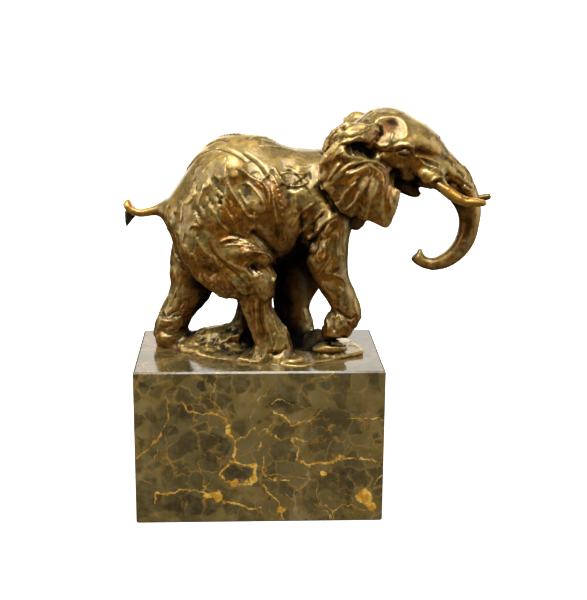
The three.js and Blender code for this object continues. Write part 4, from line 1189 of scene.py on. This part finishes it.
def marble():
    # soft grey-brown pebbles in an olive ground, crossed by orange and gold veins that swell and
    # break off
    b = Bench("marble")
    c = marbleSettings
    at = b.places()

    def drifted(place, scale, amount, detail):
        # place + amount * (a coloured noise - 1/2)
        shift = b.put("TexNoise", Vector=at, Scale=scale, Detail=detail, Roughness=0.6).outputs["Color"]
        start = b.vector("SUBTRACT", place, (amount / 2,) * 3)
        return b.vector("MULTIPLY_ADD", shift, (amount,) * 3, start)

    crackled = drifted(drifted(at, 26.0, 0.030, 4.0), 120.0, 0.007, 3.0)
    tone = None
    for scale in (38.0, 85.0):
        cells = b.put("TexVoronoi", {"feature": "F1"}, Vector=crackled, Scale=scale)
        rims = b.cellEdges(crackled, scale)
        own = b.put("SeparateColor", Color=cells.outputs["Color"]).outputs[0]
        own = b.sum("MULTIPLY", b.between(own, 0.4, 0.7), b.between(rims, 0.01, 0.16))
        tone = own if tone is None else b.sum("MAXIMUM", tone, own)
    tone = b.sum("MULTIPLY", tone, 0.72)
    veins, threads = b.cellEdges(crackled, 27.0), b.cellEdges(crackled, 85.0)
    mottle = b.noise(at, 120, 6, 0.72)
    cloud = b.noise(at, 30, 4, 0.6)
    pebble = b.blend(b.between(mottle, 0.35, 0.7), c["pebble"], c["pebblePale"])
    matrix = b.blend(b.between(mottle, 0.38, 0.7), c["matrix"], c["matrixPale"])
    matrix = b.blend(b.between(cloud, 0.40, 0.62, 0.0, 0.75), matrix, c["pebblePale"])
    rounded = drifted(at, 70.0, 0.014, 4.0)
    for x, z, halfX, halfZ in c["pebbles"]:
        rounded = b.turnTaken(tone, rounded)
        away = b.vector("SUBTRACT", rounded, (x * mm, c["front"] * mm, z * mm))
        away = b.vector("LENGTH", b.vector("MULTIPLY", away, (1 / halfX / mm, 60.0, 1 / halfZ / mm)))
        tone = b.sum("MAXIMUM", tone, b.between(away, 0.8, 1.05, 1.0, 0.0))
    colour = b.blend(b.sum("MULTIPLY", tone, 0.92), matrix, pebble)
    reach = b.sum("MULTIPLY", b.between(b.noise(at, 34, 3, 0.6), 0.40, 0.62), b.between(mottle, 0.35, 0.6))
    thread = b.sum("MULTIPLY", b.between(threads, 0.0, 0.06, 0.6, 0.0), reach)
    colour = b.blend(thread, colour, c["vein"])
    swell = b.between(b.noise(at, 22, 3, 0.6), 0.50, 0.66)
    vein = b.sum("MULTIPLY", b.between(veins, 0.0, 0.014, 0.8, 0.0), swell)
    wandering = drifted(drifted(at, 45.0, 0.016, 3.0), 190.0, 0.0045, 3.0)
    flat = b.vector("MULTIPLY", wandering, (1.0, 0.0, 1.0))
    ragged = b.sum("MULTIPLY", b.between(b.noise(at, 260, 4, 0.7), 0.25, 0.75, -1.0, 1.0), 0.0007)
    main = b.between(b.sum("ADD", nearestLine(b, flat, c["veins"]), ragged), -0.0002, 0.0007, 1.0, 0.0)
    main = b.sum("MULTIPLY", main, b.between(mottle, 0.3, 0.5, 0.25, 1.0))
    chalk = b.between(nearestLine(b, flat, c["chalkVeins"]), -0.0002, 0.0007, 0.6, 0.0)
    blobs = drifted(at, 90.0, 0.012, 4.0)
    for x, z, half in c["patches"]:
        blobs = b.turnTaken(main, blobs)
        gap = b.vector("DISTANCE", blobs, (x * mm, c["front"] * mm, z * mm))
        main = b.sum("MAXIMUM", main, b.between(gap, half * 0.75 * mm, half * 1.1 * mm, 1.0, 0.0))
    golden = b.blend(b.between(b.noise(at, 150, 4, 0.7), 0.42, 0.62), c["vein"], c["veinPale"])
    colour = b.blend(chalk, colour, c["chalk"])
    colour = b.blend(b.sum("MAXIMUM", vein, main), colour, golden)
    b.join(colour, b.shader.inputs["Base Color"])
    b.join(b.between(b.noise(at, 300, 3, 0.6), 0.3, 0.7, 0.06, 0.15), b.shader.inputs["Roughness"])
    b.shader.inputs["Specular IOR Level"].default_value = 0.6
    bump = b.put("Bump", Height=b.noise(at, 700, 3, 0.6), Strength=0.06, Distance=0.0004)
    b.join(bump.outputs[0], b.shader.inputs["Normal"])
    return b.finish


mesh.materials.append(patinaAndPaintedLight())
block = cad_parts["marble_plinth"]
block.data.materials.clear()
block.data.materials.append(marble())
print("finishes made")


studio = {
    "floorSize": 120.0,
    "cameraPlace": (-0.01314, -0.81984, 0.35292),
    "cameraYaw": 2.64, "cameraDown": 14.2, "cameraRoll": 0.45,
    "lens": 71.86,
    "airToEye": 1.0, "airToObject": 0.06, "airTint": (1.0, 0.8, 0.45, 1),
    "lampColour": (1.0, 0.97, 0.90),
    "sheets": [  # name, place, what it faces, size, glow
        ("leftSheet", (-1.3, -0.25, 0.65), (0, 0, 0.2), (1.2, 1.2), 1.5),
        ("rightSheet", (1.3, -0.1, 0.5), (0, 0, 0.2), (1.2, 1.2), 1.1),
        ("topSheet", (-0.1, -0.5, 1.08), (0, 0, 0.18), (1.0, 0.7), 4.3),
        ("sparkSheet", (0.02, -0.42, 1.0), (0, 0, 0.2), (0.26, 0.2), 8.0),
        ("skySheet", (0.0, 0.5, 1.4), (0, 0, 0.1), (1.8, 1.2), 0.45),
        ("backSheet", (0.0, 1.6, 0.75), (0, 0, 0.2), (2.6, 1.4), 1.8)],
}


def lampSheet(name, place, towards, size, glow):
    # a soft lamp whose brightness doesn't change with its size: its power is glow * pi * area
    lamp = bpy.data.lights.new(name, "AREA")
    lamp.shape = "RECTANGLE"
    lamp.size, lamp.size_y = size
    lamp.energy = glow * math.pi * size[0] * size[1]
    holder = bpy.data.objects.new(name, lamp)
    bpy.context.scene.collection.objects.link(holder)
    aim = Vector(towards) - Vector(place)
    holder.matrix_world = Matrix.Translation(place) @ aim.to_track_quat("-Z", "Y").to_matrix().to_4x4()
    lamp.color = studio["lampColour"]
    holder.visible_camera = False


def floor():
    # a wide pale sheet, plain white where it is looked at
    half = studio["floorSize"] / 2
    sheet = bpy.data.meshes.new("floor")
    corners = [(-half, -half, 0), (half, -half, 0), (half, half, 0), (-half, half, 0)]
    sheet.from_pydata(corners, [], [(0, 1, 2, 3)])
    paper = Bench("floorPaper")
    paper.shader.inputs["Base Color"].default_value = (0.92, 0.92, 0.92, 1)
    paper.shader.inputs["Roughness"].default_value = 0.7
    paper.shader.inputs["Emission Color"].default_value = (1, 1, 1, 1)
    seen = paper.put("LightPath").outputs["Is Camera Ray"]
    paper.join(paper.between(seen, 0.0, 1.0, 0.0, 1.0), paper.shader.inputs["Emission Strength"])
    sheet.materials.append(paper.finish)
    paperSheet = bpy.data.objects.new("floor", sheet)
    bpy.context.scene.collection.objects.link(paperSheet)
    paperSheet.visible_glossy = False


def camera():
    # turned aside by the yaw, tipped down and rolled, at its place
    lens = bpy.data.cameras.new("camera")
    lens.lens = studio["lens"]
    lens.sensor_width = 36
    lens.clip_start, lens.clip_end = 0.05, 200
    holder = bpy.data.objects.new("camera", lens)
    bpy.context.scene.collection.objects.link(holder)
    yaw, down, roll = (math.radians(studio[k]) for k in ("cameraYaw", "cameraDown", "cameraRoll"))
    turn = Matrix.Rotation(-yaw, 4, "Z") @ Matrix.Rotation(math.pi / 2 - down, 4, "X")
    turn = turn @ Matrix.Rotation(roll, 4, "Z")
    holder.matrix_world = Matrix.Translation(studio["cameraPlace"]) @ turn
    bpy.context.scene.camera = holder


def air():
    # white to the eye, dimmer to everything else
    world = bpy.data.worlds.new("studioAir")
    world.use_nodes = True
    tree = world.node_tree
    back = tree.nodes["Background"]
    path = tree.nodes.new("ShaderNodeLightPath")
    tint = tree.nodes.new("ShaderNodeMix")
    tint.data_type = "RGBA"
    tint.inputs[6].default_value = studio["airTint"]
    tint.inputs[7].default_value = (1, 1, 1, 1)
    tree.links.new(path.outputs["Is Camera Ray"], tint.inputs[0])
    tree.links.new(tint.outputs[2], back.inputs["Color"])
    level = tree.nodes.new("ShaderNodeMapRange")
    level.inputs["To Min"].default_value = studio["airToObject"]
    level.inputs["To Max"].default_value = studio["airToEye"]
    tree.links.new(path.outputs["Is Camera Ray"], level.inputs["Value"])
    tree.links.new(level.outputs[0], back.inputs["Strength"])
    bpy.context.scene.world = world


camera()
floor()
air()
for row in studio["sheets"]:
    lampSheet(*row)
bpy.context.scene.view_settings.view_transform = "Standard"
